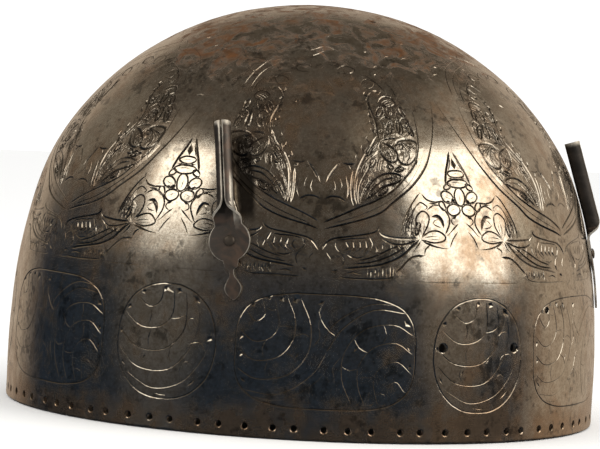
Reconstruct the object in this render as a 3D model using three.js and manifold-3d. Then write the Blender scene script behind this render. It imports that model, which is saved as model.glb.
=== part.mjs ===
// Kulah khud: a helmet bowl raised from one sheet of steel, with two riveted plume holders.
// Millimetres, +Z up. The rim stands on z = 0 round the origin, and the front of the bowl looks along -Y.
// A bearing is an angle round the bowl from its front, in degrees, growing towards +X, the wearer's left.
// A rise is a distance up the outside of the bowl from its rim.
import * as THREE from 'three';
import { mergeVertices } from 'three/addons/utils/BufferGeometryUtils.js';
import { ParametricGeometry } from 'three/addons/geometries/ParametricGeometry.js';
import Module from 'manifold-3d';

const wasm = await Module();
wasm.setup();

// Driving dimensions of the bowl
const WALL = 1.6;
const BOWL_SIDES = 78;
const BOWL_ROWS = 12;
// The outside in section, seen from the rim's centre: angle above the rim, distance to the outside
const OUTLINE = [
  { above: 0, reach: 102.0 },
  { above: 15, reach: 105.4 },
  { above: 30, reach: 113.8 },
  { above: 45, reach: 125.3 },
  { above: 60, reach: 133.5 },
  { above: 75, reach: 138.5 },
  { above: 90, reach: 140.0 },
];

// Holes through the bowl
const HOLE_SIDES = 8;
const CUTTER_LENGTH = 8;
const MAIL_HOLES = { count: BOWL_SIDES, rise: 3.5, diameter: 2.1, stray: 0.45, strayStep: 2.4 };
const SINGLE_HOLES = [
  { use: 'nasal bracket', bearing: -8.1, rise: 30.6, diameter: 3.0 },
  { use: 'nasal bracket', bearing: 8.1, rise: 30.6, diameter: 3.0 },
  { use: 'nasal screw', bearing: 18.0, rise: 42.4, diameter: 2.0 },
  { use: 'spike base', bearing: -2.0, rise: 164.0, diameter: 2.2 },
  { use: 'spike base', bearing: 178.0, rise: 164.0, diameter: 2.2 },
];

// Plume holders: a strip hugs the bowl as finial and roundel, then rolls up into an open-seamed tube
const HOLDERS = [
  { side: 'right', bearing: -49, rise: 61.5, lean: 10.5 },
  { side: 'left', bearing: 49, rise: 59.5, lean: 0 },
];
const SEAT_GAP = 0.3;
const SHEET = 0.7;
const TUBE_RADIUS = 2.25;
const ROUNDEL_RADIUS = 6.75;
const ROUNDEL_ROWS = 8;
const ROUNDEL_ENDS = { below: 68, above: 48 };
const STRAIGHT_FROM = 13;
const TUBE_TIP = 2.5;
const STRIP_COLUMNS = 10;
// Strip below the roundel, from the tip up: place along the strip, half its width
const FINIAL_ROWS = [
  { along: -18.8, half: 0.5 },
  { along: -17.3, half: 1.9 },
  { along: -15.1, half: 2.7 },
  { along: -12.8, half: 1.7 },
  { along: -11.4, half: 0.8 },
  { along: -9.4, half: 0.8 },
  { along: -8.6, half: 1.9 },
  { along: -7.5, half: 2.2 },
];
// Strip above the roundel: roll is 0 where it lies on the bowl and 1 where it is a closed tube
const TUBE_ROWS = [
  { along: 6.4, half: 4.5, roll: 0.1 },
  { along: 7.6, half: 4.7, roll: 0.3 },
  { along: 9.0, half: 5.5, roll: 0.55 },
  { along: 10.8, half: 6.3, roll: 0.8 },
  { along: 13.0, half: 6.7, roll: 0.95 },
  { along: 16.0, half: 6.7, roll: 1 },
  { along: 27.0, half: 6.8, roll: 0.985 },
  { along: 38.8, half: 6.9, roll: 0.97 },
];

// Rivets
const RIVET_SIDES = 12;
const RIVET_CLEARANCE = 0.3;
const PEEN_CLEARANCE = 0.6;
const RIVET = { shank: 1.0, head: 1.8, headHeight: 0.6, peen: 1.9, peenHeight: 0.8 };

const STEEL = { color: 0x5b5044, roughness: 0.38, metalness: 1.0 };
const HOLDER_STEEL = { color: 0x4a4038, roughness: 0.42, metalness: 1.0 };
const RIVET_IRON = { color: 0x3d342c, roughness: 0.55, metalness: 1.0 };

const radians = THREE.MathUtils.degToRad;

// The whole arch of the outside, from rim to rim over the top, as one curve
function archCurve() {
  const rising = OUTLINE.map(({ above, reach }) => {
    const angle = radians(above);
    return new THREE.Vector2(reach * Math.cos(angle), reach * Math.sin(angle));
  });
  rising.at(-1).x = 0;
  const falling = rising.slice(0, -1).reverse().map((point) => new THREE.Vector2(-point.x, point.y));
  const curve = new THREE.SplineCurve([...rising, ...falling]);
  curve.arcLengthDivisions = 600;
  return curve;
}

const ARCH = archCurve();
const CROWN_RISE = ARCH.getLength() / 2;

// Point of the section at a rise, with the directions up along the outside and out of it
function skinAt(rise) {
  const share = rise / (2 * CROWN_RISE);
  const point = ARCH.getPointAt(share);
  const up = ARCH.getTangentAt(share);
  const out = new THREE.Vector2(up.y, -up.x);
  return { point, up, out };
}

// Frame on the outside of the bowl: x runs level, y up along the skin, z out of it
function frameAt(bearing, rise) {
  const { point, up, out } = skinAt(rise);
  const angle = radians(bearing);
  const sideways = new THREE.Vector3(Math.cos(angle), Math.sin(angle), 0);
  const spread = ({ x, y }) => new THREE.Vector3(x * Math.sin(angle), -x * Math.cos(angle), y);
  return new THREE.Matrix4().makeBasis(sideways, spread(up), spread(out)).setPosition(spread(point));
}

// Closed solid of a geometry: seams and poles are merged, and the flat triangles at poles dropped
function solidOf(geometry) {
  const bare = geometry.clone();
  bare.deleteAttribute('normal');
  bare.deleteAttribute('uv');
  const merged = mergeVertices(bare);
  const corners = merged.index.array;
  const kept = [];
  for (let first = 0; first < corners.length; first += 3) {
    const triangle = corners.slice(first, first + 3);
    if (new Set(triangle).size === 3) kept.push(...triangle);
  }
  return new wasm.Manifold(new wasm.Mesh({
    numProp: 3,
    vertProperties: merged.attributes.position.array,
    triVerts: Uint32Array.from(kept),
  }));
}

function geometryOf(solid) {
  const { vertProperties, triVerts } = solid.getMesh();
  const geometry = new THREE.BufferGeometry();
  geometry.setAttribute('position', new THREE.BufferAttribute(vertProperties, 3));
  geometry.setIndex(new THREE.BufferAttribute(triVerts, 1));
  geometry.computeVertexNormals();
  return geometry;
}

// Round cutter through a skin, square to it
function holeCutter(diameter, frame) {
  const cutter = new THREE.CylinderGeometry(diameter / 2, diameter / 2, CUTTER_LENGTH, HOLE_SIDES);
  cutter.rotateX(Math.PI / 2);
  cutter.applyMatrix4(frame);
  return solidOf(cutter);
}

function rivetHoleCutter(frame) {
  return holeCutter(2 * (RIVET.shank + RIVET_CLEARANCE), frame);
}

// Bearing of one of the holes that carried the mail: punched by hand, so each strays a little
function mailHoleBearing(index) {
  const { count, stray, strayStep } = MAIL_HOLES;
  return (360 / count) * (index + 0.5) + stray * Math.sin(strayStep * index);
}

// Section listed down the inside and back up the outside, so the turned surface faces out of the steel
function bowlShell() {
  const profile = [];
  for (let row = BOWL_ROWS; row >= 1; row -= 1) {
    const { point, out } = skinAt((CROWN_RISE * row) / BOWL_ROWS);
    profile.push(point.clone().addScaledVector(out, -WALL));
  }
  const rim = skinAt(0).point;
  profile.push(new THREE.Vector2(rim.x - WALL, rim.y));
  for (let row = 0; row <= BOWL_ROWS; row += 1) {
    profile.push(skinAt((CROWN_RISE * row) / BOWL_ROWS).point);
  }
  profile[0].x = 0;
  profile.at(-1).x = 0;
  return new THREE.LatheGeometry(profile, BOWL_SIDES).rotateX(Math.PI / 2);
}

function bowl() {
  let solid = solidOf(bowlShell());
  for (let index = 0; index < MAIL_HOLES.count; index += 1) {
    const frame = frameAt(mailHoleBearing(index), MAIL_HOLES.rise);
    solid = solid.subtract(holeCutter(MAIL_HOLES.diameter, frame));
  }
  for (const { bearing, rise, diameter } of SINGLE_HOLES) {
    solid = solid.subtract(holeCutter(diameter, frameAt(bearing, rise)));
  }
  for (const { bearing, rise } of HOLDERS) {
    solid = solid.subtract(rivetHoleCutter(frameAt(bearing, rise)));
  }
  return geometryOf(solid);
}

// All rows of a holder's strip from the finial's tip to the tube's mouth
function stripRows() {
  const finial = FINIAL_ROWS.map((row) => ({ ...row, roll: 0 }));
  const roundel = [];
  for (let row = 0; row <= ROUNDEL_ROWS; row += 1) {
    const angle = radians(THREE.MathUtils.lerp(-ROUNDEL_ENDS.below, ROUNDEL_ENDS.above, row / ROUNDEL_ROWS));
    roundel.push({
      along: ROUNDEL_RADIUS * Math.sin(angle),
      half: ROUNDEL_RADIUS * Math.cos(angle),
      roll: 0,
    });
  }
  return [...finial, ...roundel, ...TUBE_ROWS];
}

// Where the strip's middle line runs in the plane of the section: on the bowl, then straight on,
// tipped towards the crown a little past the bowl's own slope
function stripPath(rise, along) {
  const seat = skinAt(rise);
  const touch = Math.min(along, STRAIGHT_FROM);
  const { point, up, out } = skinAt(rise + touch);
  const centre = new THREE.Vector2();
  const tip = radians(TUBE_TIP) * THREE.MathUtils.smoothstep(along, ROUNDEL_RADIUS, STRAIGHT_FROM);
  up.rotateAround(centre, tip);
  out.rotateAround(centre, tip);
  const reached = point.clone().addScaledVector(up, along - touch).sub(seat.point);
  const local = (vector) => new THREE.Vector2(vector.dot(seat.up), vector.dot(seat.out));
  return { at: local(reached), out: local(out) };
}

// Closed sheet of a holder in the frame of its rivet, with its tube rolled away from the bowl
function holderSheet(rise) {
  const rows = stripRows();
  const hug = -1 / skinAt(rise).point.x;
  const lastRow = rows.length + 1;
  const loop = 2 * (STRIP_COLUMNS + 1);

  // The first and last steps close the sheet's ends on its middle surface
  const surface = (u, v, target) => {
    const step = Math.round(u * lastRow);
    const { along, half, roll } = rows[THREE.MathUtils.clamp(step - 1, 0, rows.length - 1)];
    const closed = step === 0 || step === lastRow;
    const corner = Math.round((1 - v) * loop) % loop;
    const onFront = corner <= STRIP_COLUMNS;
    const column = onFront ? corner : loop - 1 - corner;
    const across = half * ((2 * column) / STRIP_COLUMNS - 1);

    const curvature = THREE.MathUtils.lerp(hug, 1 / TUBE_RADIUS, roll);
    const turn = curvature * across;
    const level = closed ? 0 : (onFront ? SHEET : -SHEET) / 2;
    const sideways = Math.sin(turn) / curvature - level * Math.sin(turn);
    const lift = (1 - Math.cos(turn)) / curvature + level * Math.cos(turn);

    const { at, out } = stripPath(rise, along);
    const point = at.clone().addScaledVector(out, SEAT_GAP + SHEET / 2 + lift);
    target.set(sideways, point.x, point.y);
  };
  return new ParametricGeometry(surface, lastRow, loop);
}

function plumeHolder(rise) {
  const rivetFrame = new THREE.Matrix4();
  return geometryOf(solidOf(holderSheet(rise)).subtract(rivetHoleCutter(rivetFrame)));
}

// A rivet in its own frame: low head outside, shank through sheet and bowl, hammered end inside
function rivet() {
  const headSeat = SEAT_GAP + SHEET + RIVET_CLEARANCE;
  const peenSeat = -WALL - PEEN_CLEARANCE;
  const profile = [
    new THREE.Vector2(0, peenSeat - RIVET.peenHeight),
    new THREE.Vector2(RIVET.peen * 0.7, peenSeat - RIVET.peenHeight * 0.8),
    new THREE.Vector2(RIVET.peen, peenSeat - RIVET.peenHeight * 0.35),
    new THREE.Vector2(RIVET.peen, peenSeat),
    new THREE.Vector2(RIVET.shank, peenSeat),
    new THREE.Vector2(RIVET.shank, headSeat),
    new THREE.Vector2(RIVET.head, headSeat),
    new THREE.Vector2(RIVET.head * 0.92, headSeat + RIVET.headHeight * 0.4),
    new THREE.Vector2(RIVET.head * 0.6, headSeat + RIVET.headHeight * 0.85),
    new THREE.Vector2(0, headSeat + RIVET.headHeight),
  ];
  const turned = new THREE.LatheGeometry(profile, RIVET_SIDES).rotateX(Math.PI / 2);
  return geometryOf(solidOf(turned));
}

function piece(name, geometry, steel) {
  const mesh = new THREE.Mesh(geometry, new THREE.MeshStandardMaterial(steel));
  mesh.name = name;
  return mesh;
}

const helmet = new THREE.Group();
helmet.name = 'kulah_khud';
helmet.add(piece('bowl', bowl(), STEEL));

for (const { side, bearing, rise, lean } of HOLDERS) {
  const seat = new THREE.Group();
  seat.applyMatrix4(frameAt(bearing, rise));
  const holder = piece(`plume_holder_${side}`, plumeHolder(rise), HOLDER_STEEL);
  holder.rotation.z = radians(lean);
  seat.add(holder, piece(`rivet_${side}`, rivet(), RIVET_IRON));
  helmet.add(seat);
}

export default helmet;
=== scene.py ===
# %% [markdown]
# A kulah khud is a domed helmet bowl, raised by hammer from one sheet of steel, engraved all over
# its sides and fitted with two little tubes that held plumes. This lesson dresses the measured
# solids of the bowl: the engraving is cut as real grooves, the plume holders are rolled from strip,
# and the steel gets the polish, brown patina and rust of a few hundred years.

import math
import random

import bmesh
import bpy
import numpy as np
from mathutils import Matrix, Quaternion, Vector, noise
from mathutils.geometry import delaunay_2d_cdt, interpolate_bezier
from mathutils.kdtree import KDTree


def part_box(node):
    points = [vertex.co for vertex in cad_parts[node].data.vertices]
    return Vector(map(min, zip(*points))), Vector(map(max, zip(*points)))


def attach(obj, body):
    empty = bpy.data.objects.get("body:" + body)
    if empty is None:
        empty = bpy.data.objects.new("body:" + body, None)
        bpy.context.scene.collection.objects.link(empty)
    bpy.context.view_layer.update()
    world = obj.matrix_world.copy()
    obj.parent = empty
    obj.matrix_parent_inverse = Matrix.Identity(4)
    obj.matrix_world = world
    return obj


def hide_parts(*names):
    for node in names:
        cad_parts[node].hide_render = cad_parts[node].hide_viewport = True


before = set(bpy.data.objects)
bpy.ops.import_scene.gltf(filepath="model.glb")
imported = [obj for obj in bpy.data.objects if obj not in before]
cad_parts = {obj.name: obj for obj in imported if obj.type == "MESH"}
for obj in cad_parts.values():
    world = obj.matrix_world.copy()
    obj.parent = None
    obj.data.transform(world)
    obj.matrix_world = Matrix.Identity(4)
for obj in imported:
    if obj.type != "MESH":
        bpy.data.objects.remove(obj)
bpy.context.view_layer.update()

# %% [markdown]
# The camera comes first, because everything is judged through it. A long lens a metre away, level
# with the lower third of the bowl, keeps the dome's outline true; the small roll is how the picture
# was taken. Colours are shown as they are, without a film look, so that pale ground stays white.

# %% Camera
MM = 0.001
CAMERA_AZIMUTH = math.radians(-34.3)
CAMERA_ELEVATION = math.radians(2.6)
CAMERA_ROLL = math.radians(3.14)
CAMERA_DISTANCE = 1.02
SENSOR, LENS = 36, 175.2
CAMERA_TARGET = Vector((-2.39, 1.63, 63.4)) * MM


def direction(azimuth, elevation):
    """Unit vector to a place round the bowl; azimuth 0 is the bowl's front, growing to its left."""
    level = math.cos(elevation)
    return Vector((math.sin(azimuth) * level, -math.cos(azimuth) * level, math.sin(elevation)))


camera_data = bpy.data.cameras.new("photo_camera")
camera_data.sensor_width = SENSOR
camera_data.lens = LENS
camera_data.clip_start = 0.05
camera = bpy.data.objects.new("photo_camera", camera_data)
bpy.context.scene.collection.objects.link(camera)
bpy.context.scene.camera = camera
bpy.context.scene.view_settings.view_transform = "Standard"
back = direction(CAMERA_AZIMUTH, CAMERA_ELEVATION)
camera.location = CAMERA_TARGET + back * CAMERA_DISTANCE
camera.rotation_mode = "QUATERNION"
roll = Quaternion((0, 0, 1), CAMERA_ROLL)
camera.rotation_quaternion = (-back).to_track_quat("-Z", "Y") @ roll
print("camera at", tuple(round(c, 4) for c in camera.location))

# %% [markdown]
# Everything on the bowl is laid out from its section: a curve from the rim up over the crown. A
# bearing goes round the bowl from its front in degrees, and a rise goes up the outside from the rim
# in millimetres. The section could be traced by hand, but the same few measured points that made the
# solids, joined by one smooth curve, put the new skin exactly where the solid one is.

# %% Section of the bowl
WALL = 1.6
# Angle above the rim as seen from its centre, and distance to the outside there
OUTLINE = ((0, 102.0), (15, 105.4), (30, 113.8), (45, 125.3), (60, 133.5), (75, 138.5), (90, 140.0))
BOWL_HEIGHT = OUTLINE[-1][1]
STRETCHES = len(OUTLINE) - 1
STRETCH_STEPS = 200


def smooth_line(points, counts):
    """Points along a smooth curve through the given ones, with a count for each stretch."""
    ends = [points[0] * 2 - points[1], *points, points[-1] * 2 - points[-2]]
    samples = []
    for before, start, stop, after, count in zip(ends, ends[1:], ends[2:], ends[3:], counts):
        leave = start + (stop - before) / 6
        arrive = stop - (after - start) / 6
        samples.extend(interpolate_bezier(start, leave, arrive, stop, count + 1)[:-1])
    return [*samples, points[-1]]


def section_curve():
    angles = [math.radians(above) for above, reach in OUTLINE]
    rising = [Vector((math.cos(a), math.sin(a))) * reach for a, (_, reach) in zip(angles, OUTLINE)]
    rising[-1].x = 0
    falling = [Vector((-p.x, p.y)) for p in rising[-2::-1]]
    arch = smooth_line([*rising, *falling], [STRETCH_STEPS] * (2 * STRETCHES))
    return np.array([tuple(p) for p in arch[: STRETCH_STEPS * STRETCHES + 1]])


section = section_curve()
section_steps = np.hypot(*np.diff(section, axis=0).T)
section_rise = np.concatenate([[0], np.cumsum(section_steps)])
section_up = np.gradient(section, section_rise, axis=0)
section_up /= np.hypot(*section_up.T)[:, None]
CROWN_RISE = float(section_rise[-1])
print("rise from rim to crown:", round(CROWN_RISE, 2), "mm")


def section_at(rise):
    """Radius, height and the up direction of the section at a rise."""
    columns = (section[:, 0], section[:, 1], section_up[:, 0], section_up[:, 1])
    return [float(np.interp(rise, section_rise, column)) for column in columns]


def seat_matrix(bearing, rise):
    """Frame on the outside of the bowl: x runs level, y up along the skin, z out of it."""
    radius, height, up_r, up_z = section_at(rise)
    angle = math.radians(bearing)
    spread = Matrix(((math.sin(angle), 0), (-math.cos(angle), 0), (0, 1)))
    across = Vector((math.cos(angle), math.sin(angle), 0))
    columns = (across, spread @ Vector((up_r, up_z)), spread @ Vector((up_z, -up_r)))
    place = spread @ Vector((radius, height)) * MM
    return Matrix.Translation(place) @ Matrix(columns).transposed().to_4x4()

# %% [markdown]
# The engraver worked on the dome, but a pattern is easier to draw flat. The chart is a flat map of
# the dome that keeps angles, as a sea chart does: across is the bearing, and up is the rise divided
# by the radius at each height. A line that is one millimetre wide on the steel is then simply one
# millimetre divided by the radius on the chart, whatever its direction.

# %% Chart of the dome
TOP_RISE = CROWN_RISE - 3.0
chart_slope = 1 / np.maximum(section[:, 0], 0.5)
chart_steps = (chart_slope[1:] + chart_slope[:-1]) / 2 * section_steps
chart_height = np.concatenate([[0], np.cumsum(chart_steps)])


def chart_point(bearing, rise):
    return Vector((math.radians(bearing), float(np.interp(rise, section_rise, chart_height))))


def radius_on_chart(point):
    return float(np.interp(point.y, chart_height, section[:, 0]))


print("chart height:", round(float(np.interp(TOP_RISE, section_rise, chart_height)), 3), "radii")

# %% [markdown]
# An engraved line is a V-shaped cut that starts and ends in a point. Here a line is kept as places
# on the chart with half its width at each. Four kinds are enough: an even line, a line that is worn
# away towards its end, a cut that swells in its middle as a graver rocked over does, and a wedge
# that starts broad and runs out thin. Each copy strays a little from the drawing and is cut a little
# steeper or flatter, because no two cuts by hand are the same. Where cuts lie close together no
# cloth gets in between, so each line also carries a share of grime that darkens the ground beside it.

# %% Engraved lines
MAX_STEP = 2.2
MIN_STEP = 0.55
SLOPES = (0.3, 0.9)
cuts = []
hand = random.Random(7)


def widths_along(kind, lengths):
    """Share of the full width at each place of a line, from the distance along it."""
    share = lengths / lengths[-1]
    if kind == "swell":
        return np.sin(np.pi * share) ** 0.8
    if kind == "wedge":
        return np.minimum(share / 0.12, 1) * (1 - share) ** 0.7
    if kind == "fade":
        return np.minimum(share / 0.03, 1) * np.clip((1.02 - share) / 0.45, 0, 1)
    taper = min(1.6, lengths[-1] * 0.3)
    ends = np.minimum(lengths, lengths[-1] - lengths) / taper
    return np.minimum(ends, 1) ** 0.6


def cut_line(points, width, kind="line", stray=0.22, slopes=SLOPES, grime=0.0):
    """Adds one cut through places given as (bearing, rise), with its greatest width in mm."""
    places = []
    for bearing, rise in points:
        radius = section_at(rise)[0]
        slip = math.degrees(hand.gauss(0, stray * 0.6) / radius)
        places.append(chart_point(bearing + slip, rise + hand.gauss(0, stray * 0.6)))
    chords = [b - a for a, b in zip(places, places[1:])]
    counts = []
    for index, chord in enumerate(chords):
        near = [c for c in chords[max(index - 1, 0): index + 2] if c.length > 0]
        bend = max((near[0].angle(c, 0) for c in near), default=0)
        length = chord.length * radius_on_chart(places[index])
        step = max(MIN_STEP, min(MAX_STEP, 0.5 * length / max(bend, 0.05)))
        counts.append(max(1, math.ceil(length / step)))
    line = smooth_line(places, counts)
    radii = np.array([radius_on_chart(p) for p in line])
    steps = [(b - a).length for a, b in zip(line, line[1:])]
    lengths = np.concatenate([[0], np.cumsum(np.array(steps) * radii[1:])])
    halves = widths_along(kind, lengths) * width / 2
    cuts.append((line, halves, radii, hand.uniform(*slopes), grime))


def on_half(axis, side, spread, points):
    """Places of one half of a motif, given as (degrees from its axis, rise)."""
    return [(axis + side * spread * across, rise) for across, rise in points]

# %% [markdown]
# Round the lower part run twelve framed fields: narrow ovals and long cartouches, one after the
# other. Their frames are superellipses. Inside lies a half palmette, the shell-like leaf of this kind
# of ornament: bowed lines, one inside the other, that part broad lobes, with short lines across the
# lobes and wedges of sunk ground between their tips and the frame. An oval has one such leaf. A
# long field has two, each the other turned half round its centre, with a waving stem between.

# %% Frames of the cartouches
OVAL = {"half_width": 10.0, "half_height": 18.4, "power": 2.2}
LONG = {"half_width": 16.4, "half_height": 18.2, "power": 3.4}
FIELD_RISE = 28.2


def field_place(centre, field, across, up):
    """Bearing and rise of a place in a field, given as shares of its half width and height."""
    return (centre + across * field["half_width"], FIELD_RISE + up * field["half_height"])


def frame_points(centre, field, size, start, stop, count):
    """Places along a field's superellipse frame, at a size and between two angles in turns."""
    points = []
    for angle in np.linspace(start, stop, count) * 2 * math.pi:
        c, s = math.cos(angle), math.sin(angle)
        across = math.copysign(abs(c) ** (2 / field["power"]), c) * size
        up = math.copysign(abs(s) ** (2 / field["power"]), s) * size
        points.append(field_place(centre, field, across, up))
    return points


def cut_frame(centre, field):
    for part in range(4):
        start = part / 4 - 0.01
        corner = frame_points(centre, field, 1.0, start, start + 0.27, 14)
        cut_line(corner, 0.6, stray=0.08, slopes=(0.25, 0.6))

# %% Leaves that fill the fields
# Hands hold the bowl low down, so the lowest cuts have lost this share of their width
WORN_LOW = 0.75
OVAL_SLOPES = (0.4, 0.75)
LONG_SLOPES = (0.2, 0.55)


def cut_field(centre, field, turns, leaf, notches, slopes):
    """Cuts a frame, its leaf at each turn of 1 or -1, and the wedges of sunk ground."""
    cut_frame(centre, field)
    for turn in turns:
        for width, kind, points in leaf:
            turned = [field_place(centre, field, turn * x, turn * y) for x, y in points]
            left_over = 1 - WORN_LOW * (0.5 - 0.5 * turn * np.mean([y for x, y in points]))
            cut_line(turned, width * left_over, kind, stray=0.14, slopes=slopes)
        for width, (x, y), (end_x, end_y) in notches:
            middle = ((x + end_x) / 2, (y + end_y) / 2)
            places = [(turn * px, turn * py) for px, py in ((x, y), middle, (end_x, end_y))]
            ground = [field_place(centre, field, *place) for place in places]
            left_over = 1 - WORN_LOW * (0.5 - 0.5 * turn * y)
            cut_line(ground, width * left_over, "swell", stray=0.1, slopes=slopes)


# Width of the cut, its kind, and its places in shares of the field
OVAL_LEAF = (
    (0.5, "line", ((-0.74, -0.6), (-0.2, -0.83), (0.4, -0.68), (0.8, -0.22), (0.9, 0.24), (0.82, 0.5))),
    (0.55, "line", ((-0.95, -0.16), (-0.52, -0.48), (0.1, -0.48), (0.52, -0.1), (0.66, 0.36), (0.6, 0.74))),
    (0.55, "line", ((-0.97, 0.14), (-0.56, -0.14), (0.0, -0.14), (0.36, 0.18), (0.42, 0.56), (0.36, 0.88))),
    (0.5, "line", ((-0.88, 0.46), (-0.5, 0.22), (-0.08, 0.26), (0.14, 0.5), (0.12, 0.96))),
    (0.45, "line", ((-0.62, 0.74), (-0.36, 0.58), (-0.14, 0.68), (-0.1, 0.94))),
    (0.5, "line", ((-0.36, -0.48), (-0.46, -0.34), (-0.4, -0.2))),
    (0.5, "line", ((0.2, -0.4), (0.12, -0.26), (0.14, -0.1))),
    (0.5, "line", ((0.44, -0.18), (0.5, -0.02), (0.72, 0.02), (0.82, -0.14))),
    (0.45, "line", ((-0.2, -0.82), (-0.3, -0.66), (-0.2, -0.52))),
    (0.45, "line", ((0.42, -0.66), (0.34, -0.5), (0.44, -0.32), (0.6, -0.4))),
    (0.45, "line", ((0.38, 0.3), (0.5, 0.42), (0.64, 0.4))),
    (0.45, "line", ((-0.3, -0.16), (-0.34, 0.02), (-0.26, 0.2))),
    (0.4, "line", ((0.1, 0.4), (0.26, 0.42), (0.4, 0.5))),
    (0.4, "line", ((-0.36, 0.6), (-0.3, 0.42), (-0.36, 0.24))),
)
# Width, and the two ends
OVAL_NOTCHES = (
    (2.6, (0.66, 0.7), (0.5, 0.82)), (2.4, (0.28, 0.86), (0.16, 0.92)),
    (1.6, (-0.02, 0.93), (-0.08, 0.9)), (2.6, (0.84, 0.06), (0.94, 0.16)),
    (2.0, (-0.56, 0.8), (-0.44, 0.84)), (2.0, (-0.82, 0.5), (-0.76, 0.6)),
    (1.6, (-0.94, 0.06), (-0.92, 0.16)), (1.8, (-0.88, -0.36), (-0.8, -0.5)),
    (2.0, (0.5, -0.76), (0.66, -0.62)), (1.4, (-0.14, -0.92), (0.1, -0.94)),
    (1.2, (0.12, -0.14), (0.2, -0.02)), (1.2, (-0.42, -0.36), (-0.36, -0.24)),
)
LONG_LEAF = (
    (0.6, "line", ((-0.9, -0.72), (-0.5, -0.76), (-0.16, -0.42), (0.0, 0.0))),
    (0.45, "line", ((-0.84, -0.84), (-0.46, -0.86), (-0.08, -0.5), (0.06, -0.04))),
    (0.55, "line", ((-0.97, -0.34), (-0.74, -0.52), (-0.4, -0.42), (-0.2, -0.02), (-0.18, 0.46),
                    (-0.3, 0.9))),
    (0.55, "line", ((-0.97, 0.0), (-0.78, -0.2), (-0.52, -0.12), (-0.37, 0.18), (-0.36, 0.55),
                    (-0.45, 0.92))),
    (0.5, "line", ((-0.96, 0.34), (-0.8, 0.13), (-0.62, 0.2), (-0.53, 0.46), (-0.6, 0.92))),
    (0.45, "line", ((-0.9, 0.68), (-0.79, 0.48), (-0.69, 0.6), (-0.72, 0.88))),
    (0.5, "line", ((-0.62, -0.52), (-0.66, -0.36), (-0.62, -0.18))),
    (0.5, "line", ((-0.3, -0.26), (-0.36, -0.1), (-0.46, -0.02))),
    (0.45, "line", ((-0.18, 0.24), (-0.26, 0.3), (-0.37, 0.24))),
    (0.45, "line", ((-0.68, -0.16), (-0.7, 0.02), (-0.66, 0.16))),
    (0.4, "line", ((-0.55, 0.4), (-0.46, 0.42), (-0.37, 0.4))),
    (0.4, "line", ((-0.68, 0.72), (-0.62, 0.68), (-0.56, 0.7))),
    (0.5, "wedge", ((-0.16, 0.06), (-0.08, 0.26), (-0.1, 0.52), (-0.02, 0.82))),
    (0.5, "wedge", ((-0.1, -0.28), (0.02, -0.44), (0.1, -0.7), (0.04, -0.88))),
)
LONG_NOTCHES = (
    (2.6, (-0.4, 0.84), (-0.34, 0.9)), (2.2, (-0.55, 0.86), (-0.49, 0.9)),
    (1.8, (-0.68, 0.86), (-0.64, 0.9)), (2.0, (-0.86, 0.72), (-0.8, 0.8)),
    (2.0, (-0.95, 0.14), (-0.93, 0.26)), (2.2, (-0.94, -0.16), (-0.92, -0.06)),
    (2.4, (-0.93, -0.5), (-0.86, -0.6)), (1.8, (-0.12, 0.82), (-0.04, 0.88)),
    (1.2, (-0.34, -0.14), (-0.3, -0.02)),
)
for sixth in range(6):
    cut_field(60 * sixth - 180, OVAL, (1,), OVAL_LEAF, OVAL_NOTCHES, OVAL_SLOPES)
    cut_field(60 * sixth - 150, LONG, (1, -1), LONG_LEAF, LONG_NOTCHES, LONG_SLOPES)
print("cuts of the framed fields:", len(cuts))

# %% [markdown]
# Above the fields, broad bands rise from six feet and spread into pointed arches, one over each long
# cartouche. Each half of an arch is the mirror of the other, so one half is drawn, in degrees from
# the arch's axis and millimetres of rise, and is cut to both sides of each axis. A flower stands
# between neighbouring arches, thirty degrees from their axes.

# %% Bands and feet of the arches
# Width of the cut, its kind, and its places
ARCH_LINES = (
    (0.6, "fade", ((0.3, 69.2), (3.6, 71.9), (7.9, 74.9), (10.8, 77.1), (14.4, 80.4), (17.6, 85.3),
                   (20.5, 90.8), (21.9, 97.4), (22.6, 103), (22.8, 110), (22.0, 118))),
    (0.65, "fade", ((0.4, 67.0), (2.5, 68.0), (7.9, 70.5), (11.9, 73.3), (14.4, 76.5), (19.1, 82.6),
                    (22.7, 89.7), (25.2, 96.9), (27.0, 104), (28.5, 111), (29.8, 118))),
    (0.28, "fade", ((2.2, 69.0), (8.4, 72.7), (13.3, 77.0), (18.3, 83.6), (21.5, 90.2), (23.4, 97.0))),
    (0.6, "line", ((0.4, 60.4), (1.1, 62.6), (2.6, 64.2), (5.8, 65.2), (9.8, 66.4), (11.2, 67.6),
                   (11.5, 69.2))),
    (0.3, "line", ((22.3, 119), (20.6, 126), (17.0, 132), (11.0, 136), (5.0, 138.5), (0.2, 142))),
    (0.26, "line", ((20.4, 118), (18.6, 125), (15.0, 130), (9.6, 133.5), (4.0, 135.5), (0.2, 138.5))),
)
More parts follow.
